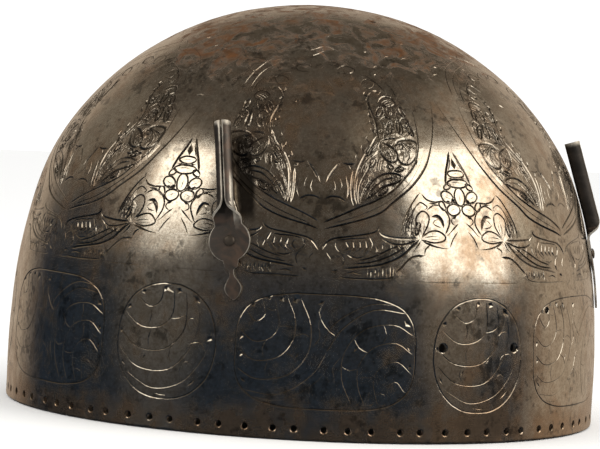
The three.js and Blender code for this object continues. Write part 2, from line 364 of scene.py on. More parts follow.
FOOT_LINES = (
    (0.62, "line", ((4.5, 54.6), (6.9, 55.3), (10.8, 56.2), (13.3, 57.3), (16.2, 59.5), (18.3, 62.8),
                    (20.1, 65.3))),
    (0.5, "line", ((14.6, 53.6), (16.2, 56.2), (17.6, 58.4), (19.1, 59.8), (20.9, 59.9))),
    (0.35, "line", ((3.4, 51.8), (8.0, 51.7), (13.4, 52.0), (14.7, 53.4))),
    (0.6, "wedge", ((4.1, 55.0), (4.7, 57.2), (4.2, 59.4), (2.8, 60.8))),
    (0.6, "line", ((11.6, 67.0), (12.8, 65.9), (16.2, 65.4), (19.6, 65.4))),
    (0.45, "line", ((12.2, 64.8), (14.2, 63.4), (16.8, 63.4), (19.8, 65.0))),
    (0.5, "wedge", ((9.7, 65.2), (10.4, 63.4), (10.0, 61.0), (8.8, 59.2))),
    (0.5, "wedge", ((3.4, 63.6), (3.1, 62.0), (3.8, 60.4), (5.2, 59.4))),
    (0.42, "line", ((3.4, 63.6), (5.4, 64.4), (7.8, 64.6), (9.6, 65.0))),
    (0.42, "line", ((5.2, 59.2), (7.0, 58.4), (8.8, 59.0))),
    (0.45, "wedge", ((13.9, 63.2), (14.2, 61.6), (13.6, 59.6))),
    (0.45, "wedge", ((12.4, 63.8), (12.3, 61.8), (11.4, 59.4))),
    (0.45, "wedge", ((15.6, 63.0), (15.9, 61.8), (15.4, 60.4))),
    (0.4, "wedge", ((1.2, 59.6), (2.0, 58.0), (1.6, 56.0))),
    (0.7, "swell", ((2.3, 53.6), (3.6, 54.4))),
    (0.45, "wedge", ((16.6, 62.6), (17.3, 61.4), (17.0, 59.9))),
    (0.4, "line", ((4.9, 53.0), (6.4, 53.8), (8.2, 53.2))),
    (0.4, "wedge", ((10.9, 62.9), (11.2, 61.0), (10.2, 59.4))),
)
for tick in range(8):
    foot = 9.2 + 0.74 * tick
    FOOT_LINES += ((0.55, "swell", ((foot, 52.5), (foot + 0.3, 54.0), (foot + 0.2, 55.7))),)

# %% Leaves inside the arches
LEAF_LINES = (
    (0.4, "line", ((6.3, 75.2), (6.0, 80.5), (6.1, 87.0))),
    (0.46, "line", ((7.0, 75.6), (6.8, 81.0), (7.3, 86.8), (8.9, 92.2), (11.0, 96.5), (12.2, 100.4))),
    (0.5, "line", ((12.3, 100.2), (12.5, 105), (11.6, 110), (11.2, 114.5), (12.6, 118.5))),
    (0.36, "line", ((7.4, 75.8), (7.6, 81.4), (8.8, 85.6), (9.9, 88.6), (10.4, 92.0))),
    (0.42, "line", ((7.6, 75.8), (8.7, 79.6), (10.4, 83.6), (12.6, 86.0), (15.4, 86.7), (17.3, 85.4))),
    (0.45, "line", ((17.3, 85.6), (16.4, 84.2), (14.4, 82.8), (12.4, 81.8), (10.4, 79.2), (8.6, 76.9))),
    (0.4, "line", ((9.4, 79.6), (11.2, 82.4), (13.2, 84.6), (15.6, 85.2))),
    (0.5, "swell", ((11.6, 80.4), (12.6, 81.6), (13.4, 81.2))),
    (0.5, "line", ((12.8, 98.0), (12.5, 94.9), (13.3, 91.9), (14.8, 90.5), (16.1, 91.4), (16.4, 93.6),
                   (15.6, 95.6), (14.0, 97.3), (12.9, 98.0))),
    (0.4, "wedge", ((14.9, 90.8), (14.6, 93.2), (13.6, 95.8))),
    (0.35, "wedge", ((15.5, 91.4), (15.4, 93.0), (14.8, 94.6))),
    (0.35, "wedge", ((13.9, 91.6), (13.7, 93.2), (13.2, 94.8))),
    (0.5, "line", ((16.4, 93.4), (16.7, 91.0), (18.3, 90.0), (20.2, 91.8), (21.3, 95.0), (21.5, 98.4),
                   (19.0, 99.2), (16.9, 98.4), (16.2, 96.2))),
    (0.5, "line", ((16.4, 96.6), (17.2, 97.6), (18.1, 97.0), (17.6, 95.8), (16.6, 95.8))),
    (0.4, "wedge", ((18.2, 90.6), (19.2, 93.0), (19.4, 96.0))),
    (0.4, "line", ((12.8, 98.4), (15.0, 99.4), (17.0, 99.2))),
    (0.45, "line", ((13.4, 89.0), (14.2, 89.8), (15.0, 89.2), (14.4, 88.2), (13.4, 88.8))),
    (0.5, "swell", ((16.2, 88.0), (17.4, 88.8), (18.2, 88.2))),
    (0.4, "wedge", ((8.9, 88.0), (10.0, 91.2), (11.8, 93.6))),
    (0.4, "wedge", ((9.8, 86.6), (10.8, 89.4), (12.4, 91.2))),
    (0.5, "line", ((0.6, 82.6), (2.0, 86.2), (3.6, 89.8))),
    (0.4, "line", ((3.6, 89.8), (5.0, 89.0), (7.2, 89.4))),
    (0.26, "line", ((3.6, 79.4), (4.0, 81.8), (3.4, 84.2))),
    (0.26, "line", ((4.9, 77.6), (5.3, 81.0), (4.7, 85.0))),
    (0.22, "wedge", ((2.0, 79.2), (2.5, 81.2), (2.2, 83.4))),
    (0.45, "line", ((0.4, 76.8), (1.6, 77.8), (3.4, 77.6), (4.8, 76.4))),
)
SPRIG_LINES = (
    (0.8, "swell", ((11.4, 110.6), (12.2, 109.2))),
    (0.7, "swell", ((12.6, 106.6), (13.9, 105.4))),
    (0.8, "swell", ((13.2, 102.4), (14.4, 101.2))),
    (0.8, "swell", ((11.0, 115.2), (11.9, 114.0))),
    (0.9, "swell", ((13.0, 118.8), (14.6, 117.6))),
    (0.7, "swell", ((21.0, 117.8), (22.0, 116.6))),
    (0.7, "swell", ((21.6, 107.4), (22.2, 105.6))),
    (0.45, "wedge", ((15.8, 101.0), (16.3, 105.0), (15.6, 109.0), (13.6, 112.4))),
    (0.45, "wedge", ((17.6, 100.6), (18.2, 105.0), (17.8, 109.6), (16.2, 114.0))),
    (0.4, "wedge", ((20.6, 100.8), (20.9, 104.0), (20.0, 108.4), (18.0, 112.0))),
    (0.4, "line", ((13.6, 106.6), (15.0, 107.8), (16.4, 106.6), (15.4, 104.8), (13.8, 105.6))),
    (0.4, "line", ((18.4, 106.0), (19.6, 107.6), (20.8, 106.4), (20.0, 104.4), (18.6, 105.0))),
    (0.4, "line", ((13.8, 113.6), (15.4, 116.0), (17.6, 116.2), (18.4, 113.6), (16.4, 112.2),
                    (14.2, 113.2))),
    (0.4, "wedge", ((16.2, 119.0), (14.6, 123.0), (11.6, 126.0), (8.0, 127.6))),
    (0.4, "wedge", ((19.4, 116.0), (18.6, 120.6), (16.0, 125.0))),
    (0.35, "line", ((9.6, 121.0), (11.6, 124.0), (14.2, 123.0), (13.0, 120.0), (10.4, 120.2))),
    (0.35, "line", ((3.4, 128.4), (6.0, 130.4), (9.0, 129.2), (7.6, 126.6), (4.4, 127.0))),
    (0.35, "wedge", ((0.4, 131.6), (2.4, 130.2), (3.4, 127.6))),
)

# %% Flowers between the arches
# Ovals: degrees from the axis, rise, half length and half width in mm, and tilt in degrees
FLOWER_OVALS = (
    (0.0, 79.6, 3.0, 2.0, 90), (1.75, 75.2, 2.5, 1.9, -8), (-1.75, 75.2, 2.5, 1.9, 8),
    (2.9, 79.4, 2.4, 1.8, 30), (-2.9, 79.4, 2.4, 1.8, -30), (0.0, 84.1, 4.0, 1.5, 0),
    (0.0, 87.4, 3.1, 1.3, 0), (2.7, 82.9, 1.5, 0.9, -35), (-2.7, 82.9, 1.5, 0.9, 35),
    (4.2, 76.4, 1.6, 1.0, 60), (-4.2, 76.4, 1.6, 1.0, -60),
)
# Cuts on the flower's own axis
FLOWER_MIDDLES = (
    (2.8, "wedge", ((0.0, 88.9), (-0.1, 90.6), (-0.3, 93.4))),
    (1.2, "swell", ((-2.2, 85.9), (0.0, 85.6), (2.2, 85.9))),
    (1.2, "swell", ((0.0, 76.2), (0.0, 77.0))),
    (0.45, "wedge", ((0.0, 77.8), (0.1, 79.2), (0.0, 80.6))),
    (1.1, "swell", ((-1.9, 82.2), (-1.3, 82.0))),
    (1.1, "swell", ((1.3, 82.0), (1.9, 82.2))),
    (0.4, "wedge", ((-1.6, 84.3), (0.0, 84.5), (1.4, 84.2))),
    (0.4, "wedge", ((1.2, 87.5), (0.0, 87.6), (-1.0, 87.3))),
)
for half in (-1, 1):
    FLOWER_MIDDLES += (
        (0.4, "wedge", ((0.9 * half, 75.8), (1.8 * half, 75.3), (2.6 * half, 74.8))),
        (0.4, "wedge", ((2.0 * half, 78.9), (2.9 * half, 79.3), (3.7 * half, 80.0))),
    )
FLOWER_LINES = (
    (0.8, "line", ((29.6, 95.8), (28.8, 92.4), (27.6, 88.0), (26.8, 83.4))),
    (1.5, "swell", ((28.3, 77.2), (28.2, 77.8), (28.4, 78.4))),
    (0.9, "swell", ((26.2, 77.8), (27.0, 77.9), (27.8, 77.7))),
    (0.9, "swell", ((28.8, 73.2), (28.2, 72.7), (27.5, 72.2))),
    (0.7, "swell", ((22.4, 77.2), (23.6, 76.9), (24.8, 76.9))),
    (0.6, "line", ((21.0, 80.4), (22.0, 78.3), (24.0, 77.5), (26.2, 78.2))),
    (0.5, "swell", ((21.0, 80.2), (20.9, 82.4))),
    (0.55, "line", ((21.9, 74.8), (23.8, 76.5), (25.8, 75.4), (26.9, 72.6), (26.7, 69.7), (25.4, 66.2))),
    (1.3, "swell", ((22.8, 72.6), (24.2, 73.0), (25.2, 71.2), (25.6, 68.6))),
    (0.4, "line", ((22.6, 71.0), (23.6, 69.8), (25.0, 69.4))),
    (0.55, "line", ((20.2, 65.6), (19.4, 69.0), (19.4, 72.4), (21.0, 74.4), (22.2, 73.0), (22.0, 69.6),
                    (20.4, 66.0))),
    (0.4, "wedge", ((20.5, 66.4), (20.4, 69.4), (20.9, 72.2))),
    (0.35, "wedge", ((20.8, 67.4), (21.2, 69.8), (21.2, 71.6))),
    (0.55, "line", ((20.4, 65.6), (22.0, 67.6), (24.0, 68.3), (25.6, 66.6), (25.4, 65.2), (23.0, 64.3),
                    (20.4, 65.2))),
    (0.4, "wedge", ((21.0, 65.8), (22.8, 66.4), (24.4, 66.2))),
    (0.35, "wedge", ((21.8, 65.2), (23.2, 65.3), (24.6, 65.5))),
    (0.6, "wedge", ((29.2, 70.8), (27.9, 69.0), (26.6, 67.0), (25.6, 66.0))),
    (0.42, "line", ((29.0, 68.4), (27.6, 65.8), (26.6, 62.4))),
    (0.42, "line", ((28.0, 73.4), (27.4, 71.2), (28.4, 70.0))),
    (0.4, "line", ((29.3, 93.6), (28.8, 91.0), (28.1, 88.4))),
    (0.4, "wedge", ((23.0, 70.3), (23.7, 71.6), (24.7, 71.9))),
    (0.36, "line", ((17.9, 65.9), (18.5, 67.6), (19.3, 68.6))),
    (0.5, "line", ((16.2, 66.4), (16.5, 69.8), (17.9, 74.8), (19.9, 79.2), (20.9, 80.8))),
    (0.35, "line", ((17.2, 67.4), (17.6, 70.2), (18.9, 74.2), (20.2, 77.4))),
    (0.45, "line", ((19.6, 75.8), (20.6, 77.2), (22.0, 76.0), (21.4, 74.8))),
    (0.9, "wedge", ((20.3, 65.2), (22.6, 63.4), (24.8, 62.6), (26.6, 62.4))),
    (0.5, "line", ((21.0, 60.2), (21.2, 62.0), (22.6, 63.6))),
    (0.9, "swell", ((18.8, 59.6), (20.0, 59.8), (21.2, 59.9))),
    (0.6, "wedge", ((20.2, 65.0), (19.4, 62.6), (18.4, 61.0))),
)
# Serrated inner edge of the crescents beside each flower
for tooth in range(5):
    place = (23.6 + 0.45 * tooth, 74.2 - 0.9 * tooth)
    FLOWER_LINES += ((0.45, "wedge", (place, (place[0] + 0.5, place[1] + 0.35))),)

# %% [markdown]
# Leaves are shaded by rows of fine cuts that lie side by side. Only the first and the last cut of a
# row are drawn; those between follow by sharing out the distance.

# %% Rows of fine cuts
# Width, kind, number of cuts, the first cut and the last one
HATCHES = (
    (0.24, "line", 3, ((7.5, 77.0), (7.9, 81.2), (9.4, 85.2)), ((8.0, 77.2), (9.1, 80.4), (11.2, 83.9))),
    (0.4, "wedge", 5, ((10.0, 87.4), (10.3, 89.6), (11.2, 92.2)),
     ((12.4, 87.8), (12.8, 89.8), (13.0, 91.8))),
    (0.38, "wedge", 4, ((14.7, 90.9), (14.0, 93.4), (13.1, 97.0)),
     ((16.1, 92.2), (15.7, 94.2), (14.4, 96.6))),
    (0.4, "wedge", 5, ((17.2, 91.2), (17.9, 93.0), (18.4, 95.6)),
     ((21.0, 95.4), (20.2, 96.6), (18.6, 97.4))),
    (0.38, "wedge", 3, ((9.6, 78.0), (10.8, 79.9), (12.4, 81.3)),
     ((11.2, 78.4), (12.0, 79.4), (13.2, 80.9))),
    (0.4, "wedge", 5, ((9.2, 78.6), (10.2, 80.6), (11.8, 82.4)),
     ((10.6, 77.6), (12.2, 79.6), (14.0, 81.4))),
    (0.5, "swell", 4, ((14.4, 87.4), (15.2, 88.6), (16.0, 89.4)),
     ((15.6, 86.9), (16.6, 87.6), (17.6, 88.2))),
    (0.36, "wedge", 4, ((8.0, 86.4), (8.6, 88.6), (9.6, 90.6)), ((9.4, 85.4), (10.0, 87.4), (11.0, 89.4))),
    (0.4, "swell", 5, ((17.4, 84.2), (17.8, 85.6), (18.6, 86.8)),
     ((20.6, 89.8), (20.8, 91.4), (21.2, 93.0))),
    (0.36, "wedge", 4, ((12.8, 99.2), (13.2, 101.0), (13.0, 103.2)),
     ((15.6, 99.6), (15.8, 101.4), (15.4, 103.4))),
    (0.28, "line", 3, ((16.2, 101.4), (16.7, 105.0), (15.8, 108.8)),
     ((20.2, 101.2), (20.0, 104.6), (18.8, 108.4))),
    (0.28, "line", 3, ((13.4, 101.4), (14.0, 104.0), (13.4, 107.2)),
     ((14.9, 100.6), (15.4, 103.6), (15.0, 107.0))),
    (0.4, "wedge", 3, ((14.6, 113.4), (15.8, 114.6), (17.4, 115.4)),
     ((15.4, 112.4), (16.6, 113.2), (18.0, 114.2))),
    (0.36, "wedge", 3, ((16.7, 67.2), (17.2, 70.4), (18.6, 74.6)),
     ((18.2, 67.6), (18.4, 70.6), (19.4, 74.0))),
    (0.5, "swell", 4, ((4.6, 60.2), (5.5, 61.7), (5.0, 63.4)), ((8.3, 60.0), (9.3, 61.9), (8.9, 64.0))),
    (0.36, "wedge", 5, ((16.2, 98.2), (15.0, 95.6), (13.7, 93.6)),
     ((17.4, 98.6), (19.5, 96.6), (20.9, 94.6))),
    (0.36, "line", 2, ((6.2, 56.2), (10.6, 57.3), (14.4, 60.0), (17.4, 63.2)),
     ((7.0, 57.4), (10.4, 58.9), (13.4, 61.2), (15.8, 63.0))),
    (0.4, "wedge", 6, ((15.1, 82.7), (15.0, 83.4), (14.9, 84.0)),
     ((17.2, 85.4), (17.0, 86.0), (16.8, 86.5))),
    (0.8, "wedge", 6, ((11.9, 101.4), (11.2, 102.2), (11.0, 103.2)),
     ((11.6, 116.2), (10.6, 117.0), (10.8, 118.2))),
    (0.5, "wedge", 4, ((6.2, 87.4), (5.6, 88.4), (5.7, 89.6)), ((10.4, 97.4), (9.8, 98.4), (10.0, 99.8))),
    (0.36, "wedge", 4, ((12.6, 107.4), (13.4, 109.2), (13.2, 111.4)),
     ((17.6, 108.6), (18.4, 110.6), (18.0, 112.8))),
    (0.36, "wedge", 4, ((14.4, 117.2), (15.4, 118.6), (15.6, 120.4)),
     ((19.0, 114.6), (19.8, 116.6), (19.6, 118.8))),
    (0.36, "wedge", 4, ((9.0, 90.6), (10.2, 92.6), (11.6, 94.0)),
     ((10.8, 95.0), (11.8, 96.4), (12.4, 98.0))),
)


def shared_out(first, last, count):
    """Cuts from the first to the last one, evenly apart."""
    for share in np.linspace(0, 1, count):
        yield [tuple(Vector(a).lerp(Vector(b), share)) for a, b in zip(first, last)]


# Small leaves of the arches, as ovals in degrees from the arch's axis
LEAF_OVALS = (
    (9.6, 94.4, 1.9, 0.75, 62), (14.9, 103.6, 2.6, 0.9, 75), (17.3, 104.0, 2.8, 1.0, 92),
    (19.7, 103.4, 2.6, 0.9, 108), (13.2, 110.0, 2.3, 0.8, 65), (16.0, 111.0, 2.3, 0.9, 85),
    (18.8, 110.4, 2.1, 0.8, 102), (18.8, 68.6, 2.2, 0.7, 72),
    (10.0, 90.0, 1.7, 0.8, 58), (15.9, 88.2, 1.6, 0.8, 20), (12.0, 80.4, 2.0, 0.9, 42),
)


def cut_oval(axis, side, across, rise, half_long, half_wide, tilt, width, grime):
    """A closed oval whose ends run over each other a little."""
    radius = section_at(rise)[0]
    turn = Matrix.Rotation(math.radians(tilt), 2)
    points = []
    for angle in np.linspace(0, 2.2 * math.pi, 12):
        x, y = turn @ Vector((half_long * math.cos(angle), half_wide * math.sin(angle)))
        points.append((axis + side * (across + math.degrees(x / radius)), rise + y))
    cut_line(points, width, stray=0.1, grime=grime)


HATCH_LINES = ()
for width, kind, count, first, last in HATCHES:
    HATCH_LINES += tuple((width, kind, points) for points in shared_out(first, last, count))
print("fine cuts in each half:", len(HATCH_LINES))

# %% Cut the upper ornament round the bowl
# A thin ring under the feet, cut in short parts
RING_PARTS, RING_RISE = 24, 51.6
# Knocks and nicks round the crown: how many, between which rises, and their slopes
NICKS, NICK_RISES, NICK_SLOPES = 90, (112, 152), (0.4, 1.0)
ARCH_AXES = (-150.0, -90.4, -32.0, 27.0, 88.6, 150.0)
FLOWER_AXES = (-180.0, -120.0, -60.7, -3.3, 57.0, 120.0, 180.0)
LEAF_SLOPES = (0.2, 0.6)
# Each set of lines with how much broader than drawn it is cut, its slopes, and the grime it gathers
UPPER_LINES = ((ARCH_LINES, 1.3, SLOPES, 0.0), (FOOT_LINES, 1.6, LEAF_SLOPES, 0.6),
               (LEAF_LINES, 2.1, LEAF_SLOPES, 1.0), (SPRIG_LINES, 2.1, LEAF_SLOPES, 1.0),
               (FLOWER_LINES, 1.15, SLOPES, 0.1), (HATCH_LINES, 1.9, LEAF_SLOPES, 1.0))
for index, axis in enumerate(ARCH_AXES):
    for side, flower in ((-1, FLOWER_AXES[index]), (1, FLOWER_AXES[index + 1])):
        spread = abs(flower - axis) / 30
        for lines, broader, slopes, grime in UPPER_LINES:
            for width, kind, points in lines:
                places = on_half(axis, side, spread, points)
                cut_line(places, width * broader, kind, 0.16, slopes, grime)
        for oval in LEAF_OVALS:
            cut_oval(axis, side, *oval, 0.8, 1.0)
for axis in FLOWER_AXES[:-1]:
    for oval in FLOWER_OVALS:
        cut_oval(axis, 1, *oval, 0.7, 0.0)
    for width, kind, points in FLOWER_MIDDLES:
        cut_line(on_half(axis, 1, 1.0, points), width, kind, stray=0.1)
for part in range(RING_PARTS):
    ring = [(part * 360 / RING_PARTS - 180 + step * 5.1, RING_RISE) for step in range(3)]
    cut_line(ring, 0.26, stray=0.1)
for _ in range(NICKS):
    bearing, rise = hand.uniform(-180, 180), hand.uniform(*NICK_RISES)
    across, up = hand.uniform(-3, 3), hand.uniform(-1.6, 1.6)
    ends = ((bearing, rise), (bearing + across / 2, rise + up / 2 + 0.2), (bearing + across, rise + up))
    cut_line(ends, hand.uniform(0.5, 1.0), "swell", stray=0.1, slopes=NICK_SLOPES)
print("cuts in all:", len(cuts), "places along them:", sum(len(cut[0]) for cut in cuts))

# %% [markdown]
# Holes go through the bowl: a row along the rim for the mail, three for the nose guard, two by the
# crown for the spike, and one under each plume holder for its rivet. They are laid on the same
# chart, so that the cuts and the holes share one skin.

# %% Holes
HOLE_SIDES = 12
HOLE_ROUNDING = 0.3
# Holes for the mail: how many, their rise and radius, and how far they stray, in degrees
MAIL_COUNT, MAIL_RISE, MAIL_RADIUS, MAIL_STRAY = 78, 3.5, 1.05, 0.45
# Bearing, rise and radius of the holes for the nose guard and for the spike
NASAL_HOLES = ((-8.1, 30.6, 1.5), (8.1, 30.6, 1.5), (18.0, 42.4, 1.0))
SPIKE_HOLES = ((-2.0, 164.0, 1.1), (-182.0, 164.0, 1.1))
# The chart is cut open at this bearing, clear of all holes
SEAM = 166.15
HOLDERS = {
    "right": {"bearing": -49, "rise": 61.5, "lean": 10.5},
    "left": {"bearing": 49, "rise": 59.5, "lean": 0},
}
RIVET_HOLE = 1.3


def hole_list():
    """Bearing, rise and radius of every hole."""
    holes = []
    for index in range(MAIL_COUNT):
        bearing = 360 / MAIL_COUNT * (index + 0.5) + MAIL_STRAY * math.sin(2.4 * index)
        holes.append((bearing if bearing < SEAM else bearing - 360, MAIL_RISE, MAIL_RADIUS))
    holes += [*NASAL_HOLES, *SPIKE_HOLES]
    holes += [(seat["bearing"], seat["rise"], RIVET_HOLE) for seat in HOLDERS.values()]
    return holes


holes = hole_list()
print("holes:", len(holes))

# %% [markdown]
# The skin could be a subdivided dome with the pattern as a bump map, but then the grooves would be
# painted, not cut. Instead the chart is triangulated with every line of the engraving as an edge:
# for each cut its two lips and its bottom. The triangles are then wrapped on the dome and the
# bottoms are pushed in, so the facets of each groove catch the light as steel does. Blender's
# constrained triangulation does this in a second.

# %% Triangulate the chart
SEAM_LAP = 3
RIM_POINTS = 312
GRID = 4.6
RIM_ROWS = (0.0, 0.12, 0.35, 0.7)


class ChartMesh:
    """Points and edges on the chart, gathered for the triangulation."""

    def __init__(self):
        self.points = []
        self.edges = []

    def add(self, places, closed=False):
        first = len(self.points)
        self.points.extend(places)
        last = len(self.points) - 1
        self.edges.extend((i, i + 1) for i in range(first, last))
        if closed:
            self.edges.append((last, first))


def add_border(chart, rows):
    """The rim, the crown's edge and both sides of the seam."""
    left, right = SEAM - 360, SEAM
    for rise in rows:
        bearings = np.linspace(left, right, RIM_POINTS + 1)
        chart.add([chart_point(bearing, rise) for bearing in bearings])
    chart.add([chart_point(bearing, TOP_RISE) for bearing in np.linspace(left, right, 25)])
    rises = [rise for rise in grid_rises() if rows[-1] < rise < TOP_RISE]
    for bearing in (left, right):
        chart.add([chart_point(bearing, rise) for rise in (rows[-1], *rises, TOP_RISE)])


def grid_rises():
    """Rises of the plain grid's rows, closer together near the crown."""
    rises = [GRID * 0.6]
    while rises[-1] < TOP_RISE:
        rises.append(rises[-1] + min(GRID, 0.35 * section_at(rises[-1])[0]))
    return rises[:-1]


def hole_ring(bearing, rise, radius):
    scale = 1 / section_at(rise)[0]
    middle = chart_point(bearing, rise)
    angles = [2 * math.pi * side / HOLE_SIDES for side in range(HOLE_SIDES)]
    return [middle + Vector((math.cos(a), math.sin(a))) * radius * scale for a in angles]


def add_holes(chart, rings):
    for bearing, rise, radius in holes:
        for extra in rings:
            chart.add(hole_ring(bearing, rise, radius + extra), closed=True)


def add_cuts(chart):
    """Lips and bottom of every cut, with copies over the seam."""
    for line, halves, radii, *_ in cuts:
        for shift in (-2 * math.pi, 0, 2 * math.pi):
            moved = [p + Vector((shift, 0)) for p in line]
            if max(p.x for p in moved) < math.radians(SEAM - 360 - SEAM_LAP):
                continue
            if min(p.x for p in moved) > math.radians(SEAM + SEAM_LAP):
                continue
            add_one_cut(chart, moved, halves, radii)


def add_one_cut(chart, line, halves, radii):
    left, right = [line[0]], [line[0]]
    for index in range(1, len(line) - 1):
        ahead = line[index + 1] - line[index - 1]
        normal = Vector((-ahead.y, ahead.x)).normalized() * (halves[index] / radii[index])
        left.append(line[index] + normal)
        right.append(line[index] - normal)
    for lip in (left, line, right):
        chart.add([*lip, line[-1]] if lip is not line else line)

# %% Distance to the cuts
DEEPEST = 0.42
OPEN_HALF = 0.24
# Millimetres of cut on each square millimetre, where grime starts and where it is full
FREE, CROWDED = 0.3, 1.0


def cut_tree():
    """Places close together along all cuts, with half width, slope and grime, to look up the nearest."""
    places, shapes = [], []
    for line, halves, radii, slope, grime in cuts:
        for index in range(len(line) - 1):
            length = (line[index + 1] - line[index]).length * radii[index]
            count = max(2, math.ceil(length / 0.25))
            for share in np.linspace(0, 1, count, endpoint=False):
                spot = line[index].lerp(line[index + 1], share)
                half = halves[index] + share * (halves[index + 1] - halves[index])
                places.append(skin_point(spot))
                shapes.append((half, slope, grime * length / count))
    tree = KDTree(len(places))
    for index, place in enumerate(places):
        tree.insert(place, index)
    tree.balance()
    return tree, shapes


def skin_point(spot):
    """Place on the smooth dome, in millimetres, of a point of the chart."""
    radius, height = (float(np.interp(spot.y, chart_height, column)) for column in section.T)
    return Vector((radius * math.sin(spot.x), -radius * math.cos(spot.x), height))


cuts_near, cut_shapes = cut_tree()
widest = max(half for half, slope, grime in cut_shapes)
print("widest cut:", round(2 * widest, 2), "mm; places:", len(cut_shapes))


def groove_at(place):
    """Depth of the cuts at a place, their dark oxide and the grime between them, each from 0 to 1."""
    deepest, dark, close = 0.0, 0.0, 0.0
    for _, index, distance in cuts_near.find_range(place, widest):
        half, slope, grime = cut_shapes[index]
        close += grime
        if distance < half:
            deepest = max(deepest, slope * (half - distance))
            dark = max(dark, (1 - distance / half) * min(1, half / OPEN_HALF))
    crowded = close / (math.pi * widest ** 2)
    return min(deepest, DEEPEST), dark, min(max((crowded - FREE) / (CROWDED - FREE), 0), 1)

# %% Wrap the chart on the dome
def add_grid(chart, spacing, clear):
    """Loose points of the plain skin, kept clear of cuts and holes."""
    loose = []
    for row, rise in enumerate(grid_rises()):
        if spacing > GRID and row % 2:
            continue
        count = max(10, round(2 * math.pi * section_at(rise)[0] / spacing))
        for index in range(count):
            bearing = SEAM - 360 + 360 * (index + 0.5 + 0.25 * (-1) ** row) / count
            spot = chart_point(bearing, rise)
            if clear and cuts_near.find_range(skin_point(spot), widest + 0.5):
                continue
            place = skin_point(spot)
            if any((place - centre).length < radius + 0.9 for centre, radius in hole_centres):
                continue
            loose.append(spot)
    chart.points.extend(loose)


hole_centres = [(skin_point(chart_point(b, r)), radius) for b, r, radius in holes]


def triangulate(chart):
    """Triangles inside the chart's borders and outside its holes."""
    result = delaunay_2d_cdt(chart.points, chart.edges, [], 0, 2e-6)
    spots, triangles = result[0], result[2]
    left, right = math.radians(SEAM - 360), math.radians(SEAM)
    top = chart_point(0, TOP_RISE).y
    kept = []
    for triangle in triangles:
        middle = sum((spots[i] for i in triangle), Vector((0, 0))) / 3
        if left < middle.x < right and 0 < middle.y < top and not in_hole(middle):
            kept.append(triangle)
    return spots, kept


hole_tree = KDTree(len(holes))
for index, (centre, radius) in enumerate(hole_centres):
    hole_tree.insert(centre, index)
hole_tree.balance()


def in_hole(spot):
    place = skin_point(spot)
    _, index, distance = hole_tree.find(place)
    return distance < hole_centres[index][1] * 0.99


outer_chart = ChartMesh()
add_border(outer_chart, RIM_ROWS)
add_holes(outer_chart, (0, HOLE_ROUNDING))
add_cuts(outer_chart)
add_grid(outer_chart, GRID, clear=True)
outer_spots, outer_triangles = triangulate(outer_chart)
inner_chart = ChartMesh()
add_border(inner_chart, (0.0,))
add_holes(inner_chart, (0,))
add_grid(inner_chart, 2 * GRID, clear=False)
inner_spots, inner_triangles = triangulate(inner_chart)
print("triangles outside:", len(outer_triangles), "inside:", len(inner_triangles))

# %% [markdown]
# Wrapped on the dome, the outer skin also gets the faint unevenness that a raising hammer leaves, and
# rounded edges at the rim and the holes. The inner skin is a coarser copy one wall thickness inside,
# where the hammer marks were never polished away.
# Bridging joins the two along the rim and through each hole, and a small fan closes each at the
# crown, so the bowl is one closed sheet of steel.

# %% Skin points
DENT = 0.075
DENT_SIZE = 16.0
INNER_DENTS = 1.8
RIM_ROUNDING = 0.6
# How deep the rounded edges of the holes and of the rim fall away
HOLE_EDGE, RIM_EDGE = 0.2, 0.45
SLOPE_STEP = 0.6


def hammer_lift(place):
    """Height of the hammered unevenness at a place, in millimetres."""
    spot = place / DENT_SIZE
    return DENT * (noise.noise(spot) + 0.35 * noise.noise(spot * 2.3))


def skin_frame(spot):
    """Place, directions level and up along the skin, and out of it, at a point of the chart."""
    rise = float(np.interp(spot.y, chart_height, section_rise))
    radius, height, up_r, up_z = section_at(rise)
    s, c = math.sin(spot.x), math.cos(spot.x)
    place = Vector((radius * s, -radius * c, height))
    up = Vector((up_r * s, -up_r * c, up_z))
    out = Vector((up_z * s, -up_z * c, -up_r))
    return place, Vector((c, s, 0)), up, out, rise


def rounding(distance, radius, depth):
    """How far a rounded edge falls away at a distance from it."""
    share = min(max(distance / radius, 0), 1)
    return depth * (1 - math.sqrt(1 - (1 - share) ** 2))


def hammered_normal(place, level, up, out, size):
    """Normal of the hammered unevenness at a place, with the unevenness taken size times."""
    lift = hammer_lift(place)
    slope_level = (hammer_lift(place + level * SLOPE_STEP) - lift) / SLOPE_STEP * size
    slope_up = (hammer_lift(place + up * SLOPE_STEP) - lift) / SLOPE_STEP * size
    return (out - level * slope_level - up * slope_up).normalized()


def outer_skin(spot):
    """Point in mm, its smooth normal, oxide and grime on it, and how far it is sunk in all."""
    place, level, up, out, rise = skin_frame(spot)
    groove, dark, grime = groove_at(place)
    _, nearest, distance = hole_tree.find(place)
    edge = rounding(distance - hole_centres[nearest][1], HOLE_ROUNDING, HOLE_EDGE)
    edge += rounding(rise, RIM_ROUNDING, RIM_EDGE)
    normal = hammered_normal(place, level, up, out, 1.0)
    return place + out * (hammer_lift(place) - groove - edge), normal, (dark, grime), groove + edge


def inner_skin(spot):
    place, level, up, out, _ = skin_frame(spot)
    normal = hammered_normal(place, level, up, out, INNER_DENTS)
    return place + out * (INNER_DENTS * hammer_lift(place) - WALL), -normal, (0.0, 0.0), 0.0

# %% Join the skins
OUTSIDE, INSIDE = 1, 2
# An open edge below this height is the rim's, and one this close to the axis is the crown's
RIM_BELOW, CROWN_WITHIN = 0.05, 5.0


